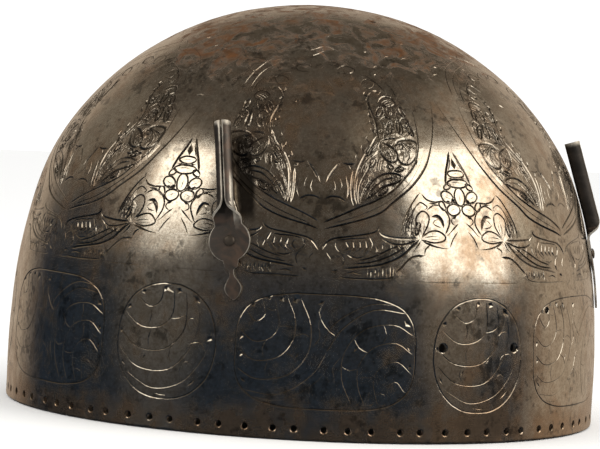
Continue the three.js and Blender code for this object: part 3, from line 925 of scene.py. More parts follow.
def add_skin(bm, spots, triangles, skin, kind):
    """Wraps one triangulated chart into the bmesh, with its data on vertices and faces."""
    normals = bm.verts.layers.float_vector["skin_normal"]
    grooves = bm.verts.layers.float["groove"]
    grimes = bm.verts.layers.float["grime"]
    sunk = bm.verts.layers.float["sunk"]
    insides = bm.verts.layers.float["inside"]
    kinds = bm.faces.layers.int["kind"]
    used = sorted({corner for triangle in triangles for corner in triangle})
    made = {}
    for corner in used:
        place, normal, (dark, grime), depth = skin(spots[corner])
        made[corner] = bm.verts.new(place * MM)
        made[corner][normals] = normal
        made[corner][grooves] = dark
        made[corner][grimes] = grime
        made[corner][sunk] = depth
        made[corner][insides] = float(kind == INSIDE)
    for triangle in triangles:
        corners = [made[corner] for corner in triangle]
        face = bm.faces.new(corners if kind == OUTSIDE else corners[::-1])
        face[kinds] = kind


def close_skins(bm):
    """Bridges the skins at the rim and the holes, and closes both at the crown."""
    kinds = bm.faces.layers.int["kind"]
    normals = bm.verts.layers.float_vector["skin_normal"]
    insides = bm.verts.layers.float["inside"]
    borders = [edge for edge in bm.edges if edge.is_boundary]
    rim, crowns, rings = [], {OUTSIDE: [], INSIDE: []}, {}
    for edge in borders:
        middle = (edge.verts[0].co + edge.verts[1].co) / 2
        if middle.z < RIM_BELOW * MM:
            rim.append(edge)
        elif middle.xy.length < CROWN_WITHIN * MM:
            crowns[edge.link_faces[0][kinds]].append(edge)
        else:
            rings.setdefault(hole_tree.find(middle / MM)[1], []).append(edge)
    bmesh.ops.bridge_loops(bm, edges=rim)
    for ring in rings.values():
        bmesh.ops.bridge_loops(bm, edges=ring)
    for kind, ring in crowns.items():
        top = (BOWL_HEIGHT if kind == OUTSIDE else BOWL_HEIGHT - WALL) * MM
        made = bmesh.ops.extrude_edge_only(bm, edges=ring)["geom"]
        for face in (part for part in made if isinstance(part, bmesh.types.BMFace)):
            face[kinds] = kind
        tips = [part for part in made if isinstance(part, bmesh.types.BMVert)]
        bmesh.ops.pointmerge(bm, verts=tips, merge_co=Vector((0, 0, top)))
        for vert in bm.verts:
            if vert.co.xy.length < 0.01 * MM and abs(vert.co.z - top) < 0.01 * MM:
                vert[normals] = Vector((0, 0, 1 if kind == OUTSIDE else -1))
                vert[insides] = float(kind == INSIDE)
    return len(rings)


bowl_bm = bmesh.new()
bowl_bm.verts.layers.float_vector.new("skin_normal")
bowl_bm.verts.layers.float.new("groove")
bowl_bm.verts.layers.float.new("grime")
bowl_bm.verts.layers.float.new("sunk")
bowl_bm.verts.layers.float.new("inside")
bowl_bm.faces.layers.int.new("kind")
add_skin(bowl_bm, outer_spots, outer_triangles, outer_skin, OUTSIDE)
add_skin(bowl_bm, inner_spots, inner_triangles, inner_skin, INSIDE)
bmesh.ops.remove_doubles(bowl_bm, verts=bowl_bm.verts, dist=0.004 * MM)
bmesh.ops.dissolve_degenerate(bowl_bm, edges=bowl_bm.edges, dist=0.002 * MM)
bridged = close_skins(bowl_bm)
bmesh.ops.triangulate(bowl_bm, faces=bowl_bm.faces)
bmesh.ops.recalc_face_normals(bowl_bm, faces=bowl_bm.faces)
open_edges = sum(not edge.is_manifold for edge in bowl_bm.edges)
print("bowl:", len(bowl_bm.faces), "faces,", bridged, "holes bridged,", open_edges, "open edges")

# %% [markdown]
# Plain steel should shade as the smooth dome it is, however the triangles lie, while a groove keeps
# its sharp facets. Shading by angle can't tell a shallow groove from a dent, so each corner is given
# its normal: the dome's own on plain faces, the facet's in grooves, at edges and in holes.

# %% Shade the bowl
# A face sunk less than this, in millimetres, is plain skin
PLAIN_DEPTH = 0.004


def new_piece(name, bm):
    """Turns a bmesh into a piece of the object, linked to the scene."""
    mesh = bpy.data.meshes.new(name)
    bm.to_mesh(mesh)
    bm.free()
    piece = bpy.data.objects.new(name, mesh)
    bpy.context.scene.collection.objects.link(piece)
    return piece


def read_attribute(mesh, name, field, width):
    attribute = mesh.attributes[name]
    values = np.zeros(len(attribute.data) * width, np.float32)
    attribute.data.foreach_get(field, values)
    return values.reshape(-1, width)


def shade_bowl(mesh):
    smooth = read_attribute(mesh, "skin_normal", "vector", 3)
    sunk = read_attribute(mesh, "sunk", "value", 1)[:, 0]
    kinds = np.zeros(len(mesh.polygons), np.int32)
    mesh.attributes["kind"].data.foreach_get("value", kinds)
    corners = np.zeros(len(mesh.loops), np.int32)
    mesh.loops.foreach_get("vertex_index", corners)
    corners = corners.reshape(-1, 3)
    facets = np.zeros(len(mesh.polygons) * 3, np.float32)
    mesh.polygons.foreach_get("normal", facets)
    facets = facets.reshape(-1, 3)
    plain = (sunk[corners].max(axis=1) < PLAIN_DEPTH) & (kinds > 0)
    normals = np.where(plain[:, None, None], smooth[corners], facets[:, None, :])
    mesh.shade_smooth()
    mesh.normals_split_custom_set(normals.reshape(-1, 3).tolist())
    for name in ("skin_normal", "sunk", "kind"):
        mesh.attributes.remove(mesh.attributes[name])
    return int(plain.sum())


bowl = new_piece("engraved_bowl", bowl_bm)
print("plain faces:", shade_bowl(bowl.data))

# %% [markdown]
# A plume holder is cut from thin sheet: a pointed finial, a round plate that a rivet holds to the
# bowl, and above it a strip rolled up into an open-seamed tube. It starts as a flat grid. Each row is
# given its place along the strip, its width and how far it is rolled, then the sheet gets its
# thickness and its edges a small round.

# %% Strip of a plume holder
SEAT_GAP = 0.3
SHEET = 0.7
TUBE_RADIUS = 2.25
ROUNDEL_RADIUS = 6.75
STRAIGHT_FROM = 13.0
TUBE_TIP = math.radians(2.5)
STRIP_COLUMNS = 22
# Place along the strip from the rivet, half width, and roll: 0 flat on the bowl, 1 a closed tube
FINIAL_ROWS = ((-18.8, 0.3, 0), (-17.3, 1.9, 0), (-15.1, 2.7, 0), (-12.8, 1.7, 0), (-11.4, 0.8, 0),
               (-9.4, 0.8, 0), (-8.6, 1.9, 0), (-7.5, 2.2, 0))
TUBE_ROWS = ((6.4, 4.5, 0.1), (7.4, 4.8, 0.34), (8.5, 5.6, 0.66), (9.9, 6.3, 0.88), (11.8, 6.7, 0.97),
             (15.0, 6.7, 1), (27.0, 6.8, 0.985), (38.8, 6.9, 0.97))


def strip_rows():
    """Rows of the strip, closely set, from the finial's tip to the tube's mouth."""
    finial = smooth_line([Vector(row) for row in FINIAL_ROWS], [4] * 7)
    plate = []
    for angle in np.radians(np.linspace(-68, 48, 25)):
        plate.append(Vector((ROUNDEL_RADIUS * math.sin(angle), ROUNDEL_RADIUS * math.cos(angle), 0)))
    tube = smooth_line([Vector(row) for row in TUBE_ROWS], [3, 3, 4, 4, 4, 4, 4])
    return [*finial, *plate, *tube]


def strip_path(rise, along):
    """Place and outward direction of the strip's middle line, in the plane of the section."""
    touch = min(along, STRAIGHT_FROM)
    radius, height, up_r, up_z = section_at(rise + touch)
    share = min(max((along - ROUNDEL_RADIUS) / (STRAIGHT_FROM - ROUNDEL_RADIUS), 0), 1)
    tip = TUBE_TIP * share * share * (3 - 2 * share)
    up = Vector((up_r, up_z))
    up.rotate(Matrix.Rotation(tip, 2))
    place = Vector((radius, height)) + up * (along - touch)
    seat_r, seat_z, seat_up_r, seat_up_z = section_at(rise)
    seat_up, seat_out = Vector((seat_up_r, seat_up_z)), Vector((seat_up_z, -seat_up_r))
    moved = place - Vector((seat_r, seat_z))
    out = Vector((up.y, -up.x))
    at = Vector((moved.dot(seat_up), moved.dot(seat_out)))
    return at, Vector((out.dot(seat_up), out.dot(seat_out)))


def bend_strip(bm, rise):
    """Moves the grid's points to the back face of the bent strip, in the frame of the rivet."""
    rows = strip_rows()
    hug = -1 / section_at(rise)[0]
    for vert in bm.verts:
        row = rows[round((vert.co.y + 1) / 2 * (len(rows) - 1))]
        along, half, roll = row
        curvature = hug + (1 / TUBE_RADIUS - hug) * roll
        turn = curvature * half * vert.co.x
        back = -SHEET / 2
        sideways = math.sin(turn) / curvature - back * math.sin(turn)
        lift = (1 - math.cos(turn)) / curvature + back * math.cos(turn)
        at, out = strip_path(rise, along)
        spot = at + out * (SEAT_GAP + SHEET / 2 + lift)
        vert.co = Vector((sideways, spot.x, spot.y)) * MM

# %% Make the plume holders
EDGE_ROUND = 0.16
# One flank of each tube is painted bright near its foot as a highlight; the other flank is painted dark as
# shade
PAINTED_HIGHLIGHT_AT, PAINTED_HIGHLIGHT_REACH, PAINTED_HIGHLIGHT_SIDE = 13.0, 12.0, 2.0
PAINTED_SHADE_FROM, PAINTED_SHADE_SIDE = 9.0, -0.5


def plume_holder(side):
    seat = HOLDERS[side]
    bm = bmesh.new()
    bmesh.ops.create_grid(bm, x_segments=STRIP_COLUMNS, y_segments=len(strip_rows()) - 1, size=1)
    bend_strip(bm, seat["rise"])
    bmesh.ops.recalc_face_normals(bm, faces=bm.faces)
    middle = min(bm.faces, key=lambda face: face.calc_center_median().length)
    if middle.normal.z > 0:
        bmesh.ops.reverse_faces(bm, faces=bm.faces)
    bmesh.ops.solidify(bm, geom=bm.faces, thickness=SHEET * MM)
    bmesh.ops.recalc_face_normals(bm, faces=bm.faces)
    sharp = [e for e in bm.edges if e.is_manifold and e.calc_face_angle() > math.radians(55)]
    edge_wear_and_painted_highlight = bm.verts.layers.float.new("edge_wear_and_painted_highlight")
    painted_flank_shade = bm.verts.layers.float.new("painted_flank_shade")
    made = bmesh.ops.bevel(bm, geom=sharp, offset=EDGE_ROUND * MM, affect="EDGES", segments=2,
                           profile=0.5, material=-1, clamp_overlap=True)
    # Worn edges of the sheet
    for vert in (vert for face in made["faces"] for vert in face.verts):
        vert[edge_wear_and_painted_highlight] = 1.0
    # Painted highlight on one flank of each tube near its foot, and painted shade on the other flank
    for vert in bm.verts:
        share_up = 1 - abs(vert.co.y / MM - PAINTED_HIGHLIGHT_AT) / PAINTED_HIGHLIGHT_REACH
        if vert.co.x > PAINTED_HIGHLIGHT_SIDE * MM and share_up > 0:
            vert[edge_wear_and_painted_highlight] = max(vert[edge_wear_and_painted_highlight], share_up ** 0.5)
        if vert.co.x < PAINTED_SHADE_SIDE * MM and vert.co.y > PAINTED_SHADE_FROM * MM:
            vert[painted_flank_shade] = 1.0
    lean = Matrix.Rotation(math.radians(seat["lean"]), 4, "Z")
    bm.transform(seat_matrix(seat["bearing"], seat["rise"]) @ lean)
    piece = new_piece(f"rolled_holder_{side}", bm)
    piece.data.shade_smooth()
    piece.data.set_sharp_from_angle(angle=math.radians(50))
    return piece


holders = {side: plume_holder(side) for side in HOLDERS}
for side, piece in holders.items():
    low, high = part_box(f"plume_holder_{side}")
    places = np.array([v.co for v in piece.data.vertices])
    print(side, "holder, new box against solid:", np.round((places.min(0) - low) * 1000, 2),
          np.round((places.max(0) - high) * 1000, 2), len(piece.data.polygons), "faces")

# %% [markdown]
# The rivets are turned shapes: a low head outside, a shank through sheet and bowl, and an end that
# was hammered flat inside. A half section spun round its axis is the natural way to make one.

# %% Rivets
RIVET_PROFILE = ((0, -3.0), (1.0, -2.95), (1.6, -2.7), (1.9, -2.4), (1.9, -2.2), (1.0, -2.2), (1.0, 1.1),
                 (1.75, 1.1), (1.82, 1.25), (1.66, 1.5), (1.2, 1.76), (0.6, 1.88), (0, 1.9))
# The head above this height is uneven from the hammer by this much
HEAD_FROM, HEAD_DENT = 1.2, 0.1


def rivet(side):
    seat = HOLDERS[side]
    bm = bmesh.new()
    corners = [bm.verts.new(Vector((radius, 0, height)) * MM) for radius, height in RIVET_PROFILE]
    edges = [bm.edges.new(pair) for pair in zip(corners, corners[1:])]
    bmesh.ops.spin(bm, geom=[*corners, *edges], cent=(0, 0, 0), axis=(0, 0, 1), angle=2 * math.pi,
                   steps=28, use_merge=True)
    bmesh.ops.remove_doubles(bm, verts=bm.verts, dist=0.001 * MM)
    bmesh.ops.recalc_face_normals(bm, faces=bm.faces)
    for vert in bm.verts:
        spot = vert.co / MM
        if spot.z > HEAD_FROM:
            vert.co.z += HEAD_DENT * MM * noise.noise(spot * 0.9 + Vector((len(side), 0, 0)))
    bm.transform(seat_matrix(seat["bearing"], seat["rise"]))
    piece = new_piece(f"hammered_rivet_{side}", bm)
    piece.data.shade_smooth()
    piece.data.set_sharp_from_angle(angle=math.radians(45))
    return piece


rivets = {side: rivet(side) for side in HOLDERS}
print("rivets:", [len(piece.data.polygons) for piece in rivets.values()], "faces")

# %% [markdown]
# The finishes share a few effects, each built once as a node group: brown patina in soft clouds,
# rust that bites into the top, and the fine marks of polishing and wear. A group gives out masks and
# heights only; each material mixes its own colours from them and keeps its own shader.

# %% Helpers for node trees
def new_node(tree, kind, **sockets):
    """Adds a node; a socket is given a number or colour, or another node's output to link."""
    node = tree.nodes.new(kind)
    for name, value in sockets.items():
        socket = node.inputs[int(name[1:])] if name[0] == "_" else node.inputs[name.replace("_", " ")]
        if isinstance(value, bpy.types.NodeSocket):
            tree.links.new(value, socket)
        else:
            socket.default_value = value
    return node


def math_node(tree, operation, first, second=0.0):
    node = new_node(tree, "ShaderNodeMath", _0=first, _1=second)
    node.operation = operation
    return node.outputs[0]


def mix_colour(tree, share, first, second):
    node = tree.nodes.new("ShaderNodeMix")
    node.data_type = "RGBA"
    for socket, value in ((node.inputs[0], share), (node.inputs[6], first), (node.inputs[7], second)):
        if isinstance(value, bpy.types.NodeSocket):
            tree.links.new(value, socket)
        else:
            socket.default_value = value
    return node.outputs[2]


def step_between(tree, value, low, high):
    """0 below low, 1 above high, and a smooth step between."""
    node = new_node(tree, "ShaderNodeMapRange", _0=value, _1=low, _2=high)
    node.interpolation_type = "SMOOTHSTEP"
    return node.outputs[0]


def cloud(tree, size, detail=6.0, stretch=(1, 1, 1), rough=0.6):
    """Noise on object coordinates with a feature size in millimetres."""
    place = tree.nodes.new("ShaderNodeTexCoord").outputs["Object"]
    scale = tuple(1 / (size * MM * s) for s in stretch)
    mapped = new_node(tree, "ShaderNodeMapping", Vector=place, Scale=scale)
    made = new_node(tree, "ShaderNodeTexNoise", Vector=mapped.outputs[0], Scale=1.0, Detail=detail,
                    Roughness=rough)
    return made.outputs[0]


def new_group(name, inputs, outputs):
    """A shader node group with number inputs and number outputs."""
    tree = bpy.data.node_groups.new(name, "ShaderNodeTree")
    for label, default in inputs:
        socket = tree.interface.new_socket(label, in_out="INPUT", socket_type="NodeSocketFloat")
        socket.default_value = default
    for label in outputs:
        tree.interface.new_socket(label, in_out="OUTPUT", socket_type="NodeSocketFloat")
    return tree, tree.nodes.new("NodeGroupInput"), tree.nodes.new("NodeGroupOutput")

# %% Brown patina
def patina_group():
    """Soft brown clouds, a finer mottle, dark stains and a fine grain; Amount grows the clouds."""
    outputs = ("Mask", "Mottle", "Stain", "Grain")
    tree, given, made = new_group("brown_patina", (("Amount", 0.5),), outputs)
    broad = math_node(tree, "MULTIPLY", cloud(tree, 30, 5.0), 0.42)
    fine = math_node(tree, "MULTIPLY", cloud(tree, 8, 8.0, rough=0.68), 0.38)
    streak = math_node(tree, "MULTIPLY", cloud(tree, 6, 5.0, (1, 1, 6)), 0.2)
    both = math_node(tree, "ADD", math_node(tree, "ADD", broad, fine), streak)
    low = math_node(tree, "SUBTRACT", 0.66, math_node(tree, "MULTIPLY", given.outputs[0], 0.4))
    tree.links.new(step_between(tree, both, low, math_node(tree, "ADD", low, 0.17)), made.inputs["Mask"])
    tree.links.new(step_between(tree, cloud(tree, 3.6, 8.0, rough=0.72), 0.36, 0.68), made.inputs["Mottle"])
    spots = math_node(tree, "MULTIPLY", cloud(tree, 11, 3.0), cloud(tree, 2.6, 6.0))
    tree.links.new(step_between(tree, spots, 0.28, 0.38), made.inputs["Stain"])
    tree.links.new(step_between(tree, cloud(tree, 0.9, 6.0, rough=0.75), 0.42, 0.66), made.inputs["Grain"])
    return tree


brown_patina = patina_group()
print("group:", brown_patina.name)

# %% Rust
def rust_group():
    """Rust in curling patches, with pits; Amount grows the patches."""
    tree, given, made = new_group("brown_rust", (("Amount", 0.5),), ("Mask", "Height"))
    place = tree.nodes.new("ShaderNodeTexCoord").outputs["Object"]
    mapped = new_node(tree, "ShaderNodeMapping", Vector=place, Scale=(120, 120, 160))
    patches = new_node(tree, "ShaderNodeTexNoise", Vector=mapped.outputs[0], Scale=1.0, Detail=9.0,
                       Roughness=0.7, Distortion=1.1).outputs[0]
    low = math_node(tree, "SUBTRACT", 0.78, math_node(tree, "MULTIPLY", given.outputs[0], 0.5))
    mask = step_between(tree, patches, low, math_node(tree, "ADD", low, 0.22))
    tree.links.new(mask, made.inputs["Mask"])
    grain = math_node(tree, "MULTIPLY", cloud(tree, 1.1, 8.0, rough=0.75), mask)
    tree.links.new(grain, made.inputs["Height"])
    return tree


brown_rust = rust_group()
print("group:", brown_rust.name)

# %% Polish and wear marks
def polish_group():
    """Fine polishing lines round the piece, stray scratches and a soft mottle."""
    tree, given, made = new_group("polish_marks", (("Scratches", 0.5),), ("Height", "Dull"))
    level = cloud(tree, 0.35, 3.0, (60, 60, 1), rough=0.7)
    slant = cloud(tree, 0.4, 2.0, (1, 14, 14), rough=0.7)
    lines = math_node(tree, "ADD", level, math_node(tree, "MULTIPLY", slant, 0.7))
    strong = math_node(tree, "MULTIPLY", lines, given.outputs[0])
    tree.links.new(strong, made.inputs["Height"])
    dull = math_node(tree, "ADD", math_node(tree, "MULTIPLY", level, 0.4),
                     math_node(tree, "MULTIPLY", cloud(tree, 9, 6.0), 0.6))
    tree.links.new(dull, made.inputs["Dull"])
    return tree


polish_marks = polish_group()
print("group:", polish_marks.name)

# %% [markdown]
# The bowl's steel is polished and worn on the sides, brown where hands and damp reached it, and
# rusted on the crown, where the polish is gone. The cuts keep dark oxide in their bottoms, which is
# what makes the drawing readable: the mesh carries it as an attribute named groove, and the grime on
# the ground between close cuts as one named grime. That ground was roughened with the chisel too,
# too finely for the mesh, so a bump stands for it. Close beside each plume tube a dark strip is
# painted on the steel as the tube's shadow. The inside was never polished: an attribute named
# inside gives it a duller, browner skin.

# %% Engraved steel
def new_material(name):
    material = bpy.data.materials.new(name)
    material.use_nodes = True
    return material, material.node_tree, material.node_tree.nodes["Principled BSDF"]


def placed_group(tree, group, **inputs):
    node = tree.nodes.new("ShaderNodeGroup")
    node.node_tree = group
    for name, value in inputs.items():
        if isinstance(value, bpy.types.NodeSocket):
            tree.links.new(value, node.inputs[name])
        else:
            node.inputs[name].default_value = value
    return node.outputs


def bump_normal(tree, height, strength, distance):
    node = new_node(tree, "ShaderNodeBump", Height=height, Strength=strength, Distance=distance)
    return node.outputs[0]


def mesh_value(tree, name):
    """A number that the mesh carries on its vertices."""
    node = tree.nodes.new("ShaderNodeAttribute")
    node.attribute_name = name
    return node.outputs["Fac"]


def height_on_bowl(tree):
    place = tree.nodes.new("ShaderNodeTexCoord").outputs["Object"]
    return new_node(tree, "ShaderNodeSeparateXYZ", Vector=place).outputs[2]


STEEL = (0.54, 0.49, 0.41, 1)
PATINA = (0.33, 0.21, 0.12, 1)
MOTTLE = (0.2, 0.145, 0.095, 1)
RUST = (0.23, 0.086, 0.02, 1)
RUST_DARK = (0.11, 0.05, 0.018, 1)
# Dark oxide of the cuts, stains and grime; also the colour of the painted shadow beside the tubes and of
# the painted shade on one flank of each tube
OXIDE_AND_SHADE = (0.03, 0.026, 0.022, 1)
INNER_BROWN = (0.1, 0.075, 0.055, 1)
INNER_RUST = (0.17, 0.095, 0.05, 1)


# The painted shadow beside a tube is a dark strip in the tube's own frame: its middle, half its width and
# length where it is full and where it ends, and how deep behind the tube it still counts, all in
# millimetres
SHADOW_ASIDE, SHADOW_ALONG, SHADOW_STRAY = 5, 7, 3
SHADOW_WIDTH, SHADOW_LENGTH, SHADOW_BEHIND = (1.8, 3.8), (11, 17), (-25, -15)


def painted_tube_shadow(tree, seat):
    """Mask of the painted shadow close beside a plume tube: a dark strip on the bowl."""
    lean = Matrix.Rotation(math.radians(seat["lean"]), 4, "Z")
    frame_there = seat_matrix(seat["bearing"], seat["rise"] + 14) @ lean
    place = tree.nodes.new("ShaderNodeTexCoord").outputs["Object"]
    moved = new_node(tree, "ShaderNodeMapping", Vector=place, Location=frame_there.to_translation(),
                     Rotation=frame_there.to_euler())
    moved.vector_type = "TEXTURE"
    x, y, out = new_node(tree, "ShaderNodeSeparateXYZ", Vector=moved.outputs[0]).outputs
    wander = math_node(tree, "MULTIPLY", cloud(tree, 5, 4.0), SHADOW_STRAY * MM)
    strayed = math_node(tree, "ADD", x, wander)
    aside = math_node(tree, "ABSOLUTE", math_node(tree, "SUBTRACT", strayed, SHADOW_ASIDE * MM))
    along = math_node(tree, "ABSOLUTE", math_node(tree, "SUBTRACT", y, SHADOW_ALONG * MM))
    across_mask = step_between(tree, aside, SHADOW_WIDTH[1] * MM, SHADOW_WIDTH[0] * MM)
    along_mask = step_between(tree, along, SHADOW_LENGTH[1] * MM, SHADOW_LENGTH[0] * MM)
    this_side = step_between(tree, out, SHADOW_BEHIND[0] * MM, SHADOW_BEHIND[1] * MM)
    return math_node(tree, "MULTIPLY", math_node(tree, "MULTIPLY", across_mask, along_mask), this_side)


# Heights in millimetres between which the crown's rust comes in and the rim's goes out
CROWN_RUST, RIM_RUST = (86, 128), (4, 14)


def engraved_steel():
    material, tree, shader = new_material("engraved_steel")
    height = height_on_bowl(tree)
    crown = step_between(tree, height, CROWN_RUST[0] * MM, CROWN_RUST[1] * MM)
    above_rim = step_between(tree, height, RIM_RUST[0] * MM, RIM_RUST[1] * MM)
    foot = math_node(tree, "SUBTRACT", 1.0, above_rim)
    patina = placed_group(tree, brown_patina, Amount=math_node(
        tree, "ADD", math_node(tree, "MULTIPLY", foot, 0.25), 0.5))
    patches = math_node(tree, "ADD", 0.33, math_node(tree, "MULTIPLY", cloud(tree, 38, 3.0), 0.75))
    rust = placed_group(tree, brown_rust, Amount=math_node(
        tree, "ADD", math_node(tree, "MULTIPLY", crown, patches), math_node(tree, "MULTIPLY", foot, 0.42)))
    polish = placed_group(tree, polish_marks, Scratches=0.5)
    oxide, grime, inside = (mesh_value(tree, name) for name in ("groove", "grime", "inside"))
    worn = math_node(tree, "ADD", 0.35, math_node(tree, "MULTIPLY", cloud(tree, 14, 4.0), 0.9))
    groove = math_node(tree, "MULTIPLY", step_between(tree, oxide, 0.2, 0.85), worn)
    dirty = math_node(tree, "MULTIPLY", grime, math_node(tree, "ADD", 0.2, cloud(tree, 9, 4.0)))

    colour = mix_colour(tree, math_node(tree, "MULTIPLY", patina["Mask"], 0.85), STEEL, PATINA)
    colour = mix_colour(tree, math_node(tree, "MULTIPLY", patina["Mottle"], 0.42), colour, MOTTLE)
    colour = mix_colour(tree, math_node(tree, "MULTIPLY", patina["Grain"], 0.3), colour, MOTTLE)
    colour = mix_colour(tree, math_node(tree, "MULTIPLY", patina["Stain"], 0.55), colour, OXIDE_AND_SHADE)
    rusty = mix_colour(tree, patina["Mottle"], RUST, RUST_DARK)
    colour = mix_colour(tree, math_node(tree, "MULTIPLY", rust["Mask"], 0.92), colour, rusty)
    colour = mix_colour(tree, math_node(tree, "MULTIPLY", dirty, 0.5), colour, OXIDE_AND_SHADE)
    # Painted shadow of each plume tube: a dark strip on the bowl close beside it
    for seat in HOLDERS.values():
        colour = mix_colour(tree, math_node(tree, "MULTIPLY", painted_tube_shadow(tree, seat), 0.9), colour, OXIDE_AND_SHADE)
    colour = mix_colour(tree, math_node(tree, "MULTIPLY", groove, 0.85), colour, OXIDE_AND_SHADE)
    lining = mix_colour(tree, patina["Mottle"], INNER_BROWN, INNER_RUST)
    colour = mix_colour(tree, math_node(tree, "MULTIPLY", inside, 0.85), colour, lining)
    tree.links.new(colour, shader.inputs["Base Color"])

    rough = math_node(tree, "ADD", 0.1, math_node(tree, "MULTIPLY", polish["Dull"], 0.16))
    rough = math_node(tree, "ADD", rough, math_node(tree, "MULTIPLY", patina["Mask"], 0.1))
    rough = math_node(tree, "ADD", rough, math_node(tree, "MULTIPLY", rust["Mask"], 0.25))
    rough = math_node(tree, "ADD", rough, math_node(tree, "MULTIPLY", inside, 0.25))
    tree.links.new(rough, shader.inputs["Roughness"])
    metal = math_node(tree, "SUBTRACT", 1.0, math_node(tree, "MULTIPLY", rust["Mask"], 0.3))
    metal = math_node(tree, "SUBTRACT", metal, math_node(tree, "MULTIPLY", patina["Mask"], 0.045))
    metal = math_node(tree, "SUBTRACT", metal, math_node(tree, "MULTIPLY", inside, 0.35))
    tree.links.new(metal, shader.inputs["Metallic"])
    relief = math_node(tree, "ADD", math_node(tree, "MULTIPLY", polish["Height"], 0.25), rust["Height"])
    chiselled = math_node(tree, "MULTIPLY", cloud(tree, 2.0, 3.0), math_node(tree, "MULTIPLY", grime, 7.0))
    relief = math_node(tree, "ADD", relief, chiselled)
    tree.links.new(bump_normal(tree, relief, 0.35, 0.12 * MM), shader.inputs["Normal"])
    return material


bowl.data.materials.append(engraved_steel())
print("material:", bowl.data.materials[0].name)

# %% [markdown]
# The holders and rivets are the same steel with other histories: the thin sheet is browner, with worn
# edges, a painted highlight on one flank of each tube and painted shade on the other, and the rivet heads
# are dull iron.

# %% Holder steel and rivet iron
def brown_steel(name, base, brown, amount, rough_from):
    material, tree, shader = new_material(name)
    patina = placed_group(tree, brown_patina, Amount=amount)
    rust = placed_group(tree, brown_rust, Amount=amount)
    polish = placed_group(tree, polish_marks, Scratches=0.6)
    colour = mix_colour(tree, math_node(tree, "MULTIPLY", patina["Mask"], 0.8), base, brown)
    colour = mix_colour(tree, math_node(tree, "MULTIPLY", rust["Mask"], 0.16), colour, RUST)
    # Worn edges and the painted highlight on one flank turn to bright steel; painted shade darkens the
    # other flank and makes it rougher
    worn = math_node(tree, "MULTIPLY", mesh_value(tree, "edge_wear_and_painted_highlight"), cloud(tree, 6, 3.0))
    flank_shade = math_node(tree, "MULTIPLY", mesh_value(tree, "painted_flank_shade"), 0.8)
    colour = mix_colour(tree, flank_shade, colour, OXIDE_AND_SHADE)
    colour = mix_colour(tree, step_between(tree, worn, 0.2, 0.6), colour, STEEL)
    tree.links.new(colour, shader.inputs["Base Color"])
    rough = math_node(tree, "ADD", rough_from, math_node(tree, "MULTIPLY", polish["Dull"], 0.25))
    rough = math_node(tree, "ADD", rough, math_node(tree, "MULTIPLY", flank_shade, 0.2))
    tree.links.new(rough, shader.inputs["Roughness"])
    metal = math_node(tree, "SUBTRACT", 0.72, math_node(tree, "MULTIPLY", rust["Mask"], 0.2))
    tree.links.new(metal, shader.inputs["Metallic"])
    relief = math_node(tree, "ADD", polish["Height"], rust["Height"])
    tree.links.new(bump_normal(tree, relief, 0.3, 0.1 * MM), shader.inputs["Normal"])
    return material


HOLDER_BASE, HOLDER_BROWN = (0.075, 0.066, 0.058, 1), (0.062, 0.052, 0.043, 1)
RIVET_BASE, RIVET_BROWN = (0.08, 0.065, 0.05, 1), (0.06, 0.042, 0.028, 1)
holder_steel = brown_steel("holder_steel", HOLDER_BASE, HOLDER_BROWN, 0.75, 0.28)
rivet_iron = brown_steel("rivet_iron", RIVET_BASE, RIVET_BROWN, 0.5, 0.35)
for piece in holders.values():
    piece.data.materials.append(holder_steel)
for piece in rivets.values():
    piece.data.materials.append(rivet_iron)
print("materials:", sorted(m.name for m in bpy.data.materials if m.users))

# %% [markdown]
# The stage is a plain pale floor under a pale sky. Polished steel shows what stands round it, so the
# light is laid out as a photographer would: two tall soft boxes left and right of the camera for the
# two bright flanks, a dim front, and a bright background that lights the dome's edges.

# %% Floor
FLOOR_HALF = 3.0
FLOOR_GAP = 0.3
FLOOR_COLOUR = (0.9, 0.9, 0.89, 1)


def pale_floor():
    bm = bmesh.new()
    bmesh.ops.create_grid(bm, x_segments=1, y_segments=1, size=FLOOR_HALF)
    bmesh.ops.translate(bm, verts=bm.verts, vec=(0, 0, -FLOOR_GAP * MM))
    floor = new_piece("floor", bm)
    material, tree, shader = new_material("pale_floor")
    shader.inputs["Base Color"].default_value = FLOOR_COLOUR
    shader.inputs["Roughness"].default_value = 0.9
    floor.data.materials.append(material)
    floor.visible_glossy = False
    return floor


floor = pale_floor()

# %% Sky
GROUND = (0.014, 0.022, 0.035, 1)
ROOM_LOW = (0.018, 0.029, 0.05, 1)
ROOM_HIGH = (0.115, 0.098, 0.08, 1)
WALL_LOW = (0.6, 0.49, 0.38, 1)
WALL_HIGH = (0.1, 0.082, 0.06, 1)
BACKDROP = (1.12, 1.12, 1.12, 1)
# The bright wall stands to the right of straight behind the bowl; cosines where it starts and is full
WALL_TOWARDS = direction(CAMERA_AZIMUTH + math.radians(161.5), 0.0)
WALL_EDGE = (0.233, 0.688)
# Soft glows beside and below the boxes: degrees from the camera, degrees of height, cosine at the
# edge, and colour
GLOWS = (
    (-85, 34, 0.91, (0.4, 0.34, 0.275, 1)),
    (-126, 26, 0.94, (0.27, 0.235, 0.19, 1)),
    (112, 35, 0.88, (0.54, 0.465, 0.38, 1)),
    (99, 24, 0.95, (0.75, 0.65, 0.52, 1)),
    (60, 55, 0.93, (0.34, 0.285, 0.22, 1)),
    (60, 5, 0.95, (0.17, 0.145, 0.12, 1)),
    (-58, 10, 0.9, (0.12, 0.115, 0.11, 1)),
)


def facing(tree, towards, axis):
    """Cosine of the angle between a direction of the sky and an axis."""
    node = tree.nodes.new("ShaderNodeVectorMath")
    node.operation = "DOT_PRODUCT"
    tree.links.new(towards, node.inputs[0])
    node.inputs[1].default_value = tuple(axis)
    return node.outputs["Value"]


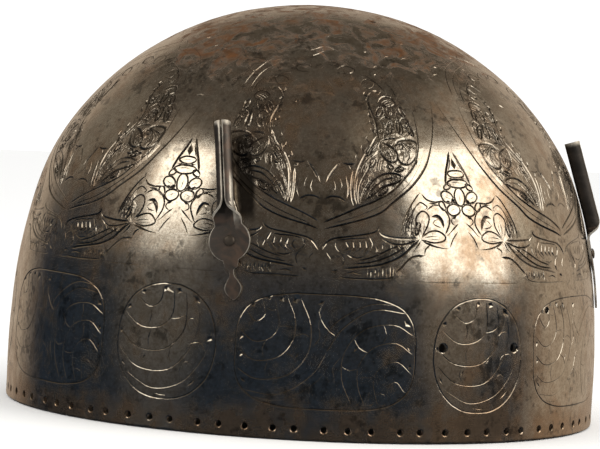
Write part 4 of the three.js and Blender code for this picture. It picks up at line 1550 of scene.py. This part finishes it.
def studio_sky():
    """White to the camera; seen in the steel, a dim room in front and a bright wall behind."""
    world = bpy.data.worlds.new("studio")
    bpy.context.scene.world = world
    world.use_nodes = True
    tree = world.node_tree
    tree.nodes.clear()
    towards = tree.nodes.new("ShaderNodeTexCoord").outputs["Generated"]
    height = new_node(tree, "ShaderNodeSeparateXYZ", Vector=towards).outputs[2]
    behind = step_between(tree, facing(tree, towards, WALL_TOWARDS), *WALL_EDGE)
    room = mix_colour(tree, step_between(tree, height, 0.0, 0.58), ROOM_LOW, ROOM_HIGH)
    wall = mix_colour(tree, step_between(tree, height, 0.3, 0.65), WALL_LOW, WALL_HIGH)
    shade = mix_colour(tree, behind, room, wall)
    for azimuth, elevation, edge, colour in GLOWS:
        middle = direction(CAMERA_AZIMUTH + math.radians(azimuth), math.radians(elevation))
        beside = step_between(tree, facing(tree, towards, middle), edge, 0.99)
        shade = mix_colour(tree, beside, shade, colour)
    shade = mix_colour(tree, step_between(tree, height, -0.35, -0.12), GROUND, shade)
    rays = tree.nodes.new("ShaderNodeLightPath").outputs
    shown = mix_colour(tree, rays["Is Glossy Ray"], BACKDROP, shade)
    back_light = new_node(tree, "ShaderNodeBackground", Color=shown, Strength=1.0)
    out = tree.nodes.new("ShaderNodeOutputWorld")
    tree.links.new(back_light.outputs[0], out.inputs["Surface"])


studio_sky()

# %% Soft boxes
BOX_COLOUR = (1.0, 0.96, 0.89)
BOX_AIM = Vector((0, 0, 0.06))


def soft_box(name, azimuth, elevation, lean, width, height, power, distance=1.3):
    """An area light round the bowl, placed by its angle from the camera and its height angle.

    Its top leans to the left by so many degrees, seen from the camera.
    """
    data = bpy.data.lights.new(name, "AREA")
    data.shape = "RECTANGLE"
    data.size = width
    data.size_y = height
    data.energy = power
    data.color = BOX_COLOUR
    light = bpy.data.objects.new(name, data)
    towards = direction(CAMERA_AZIMUTH + math.radians(azimuth), math.radians(elevation))
    light.location = BOX_AIM + towards * distance
    turn = (-towards).to_track_quat("-Z", "Y") @ Quaternion((0, 0, 1), math.radians(lean))
    light.rotation_euler = turn.to_euler()
    bpy.context.scene.collection.objects.link(light)
    return light


soft_box("left_box", -59.5, 33, 10, 0.52, 0.68, 3.3)
soft_box("right_box", 68, 31, -12, 0.96, 0.92, 8.6)

# %% [markdown]
# Last, each piece is parented to the root body, and the solid that it stands for is hidden.

# %% Tie the pieces to the solids
def stand_for(piece, node):
    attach(piece, "root")
    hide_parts(node)


stand_for(bowl, "bowl")
for side in HOLDERS:
    stand_for(holders[side], f"plume_holder_{side}")
    stand_for(rivets[side], f"rivet_{side}")
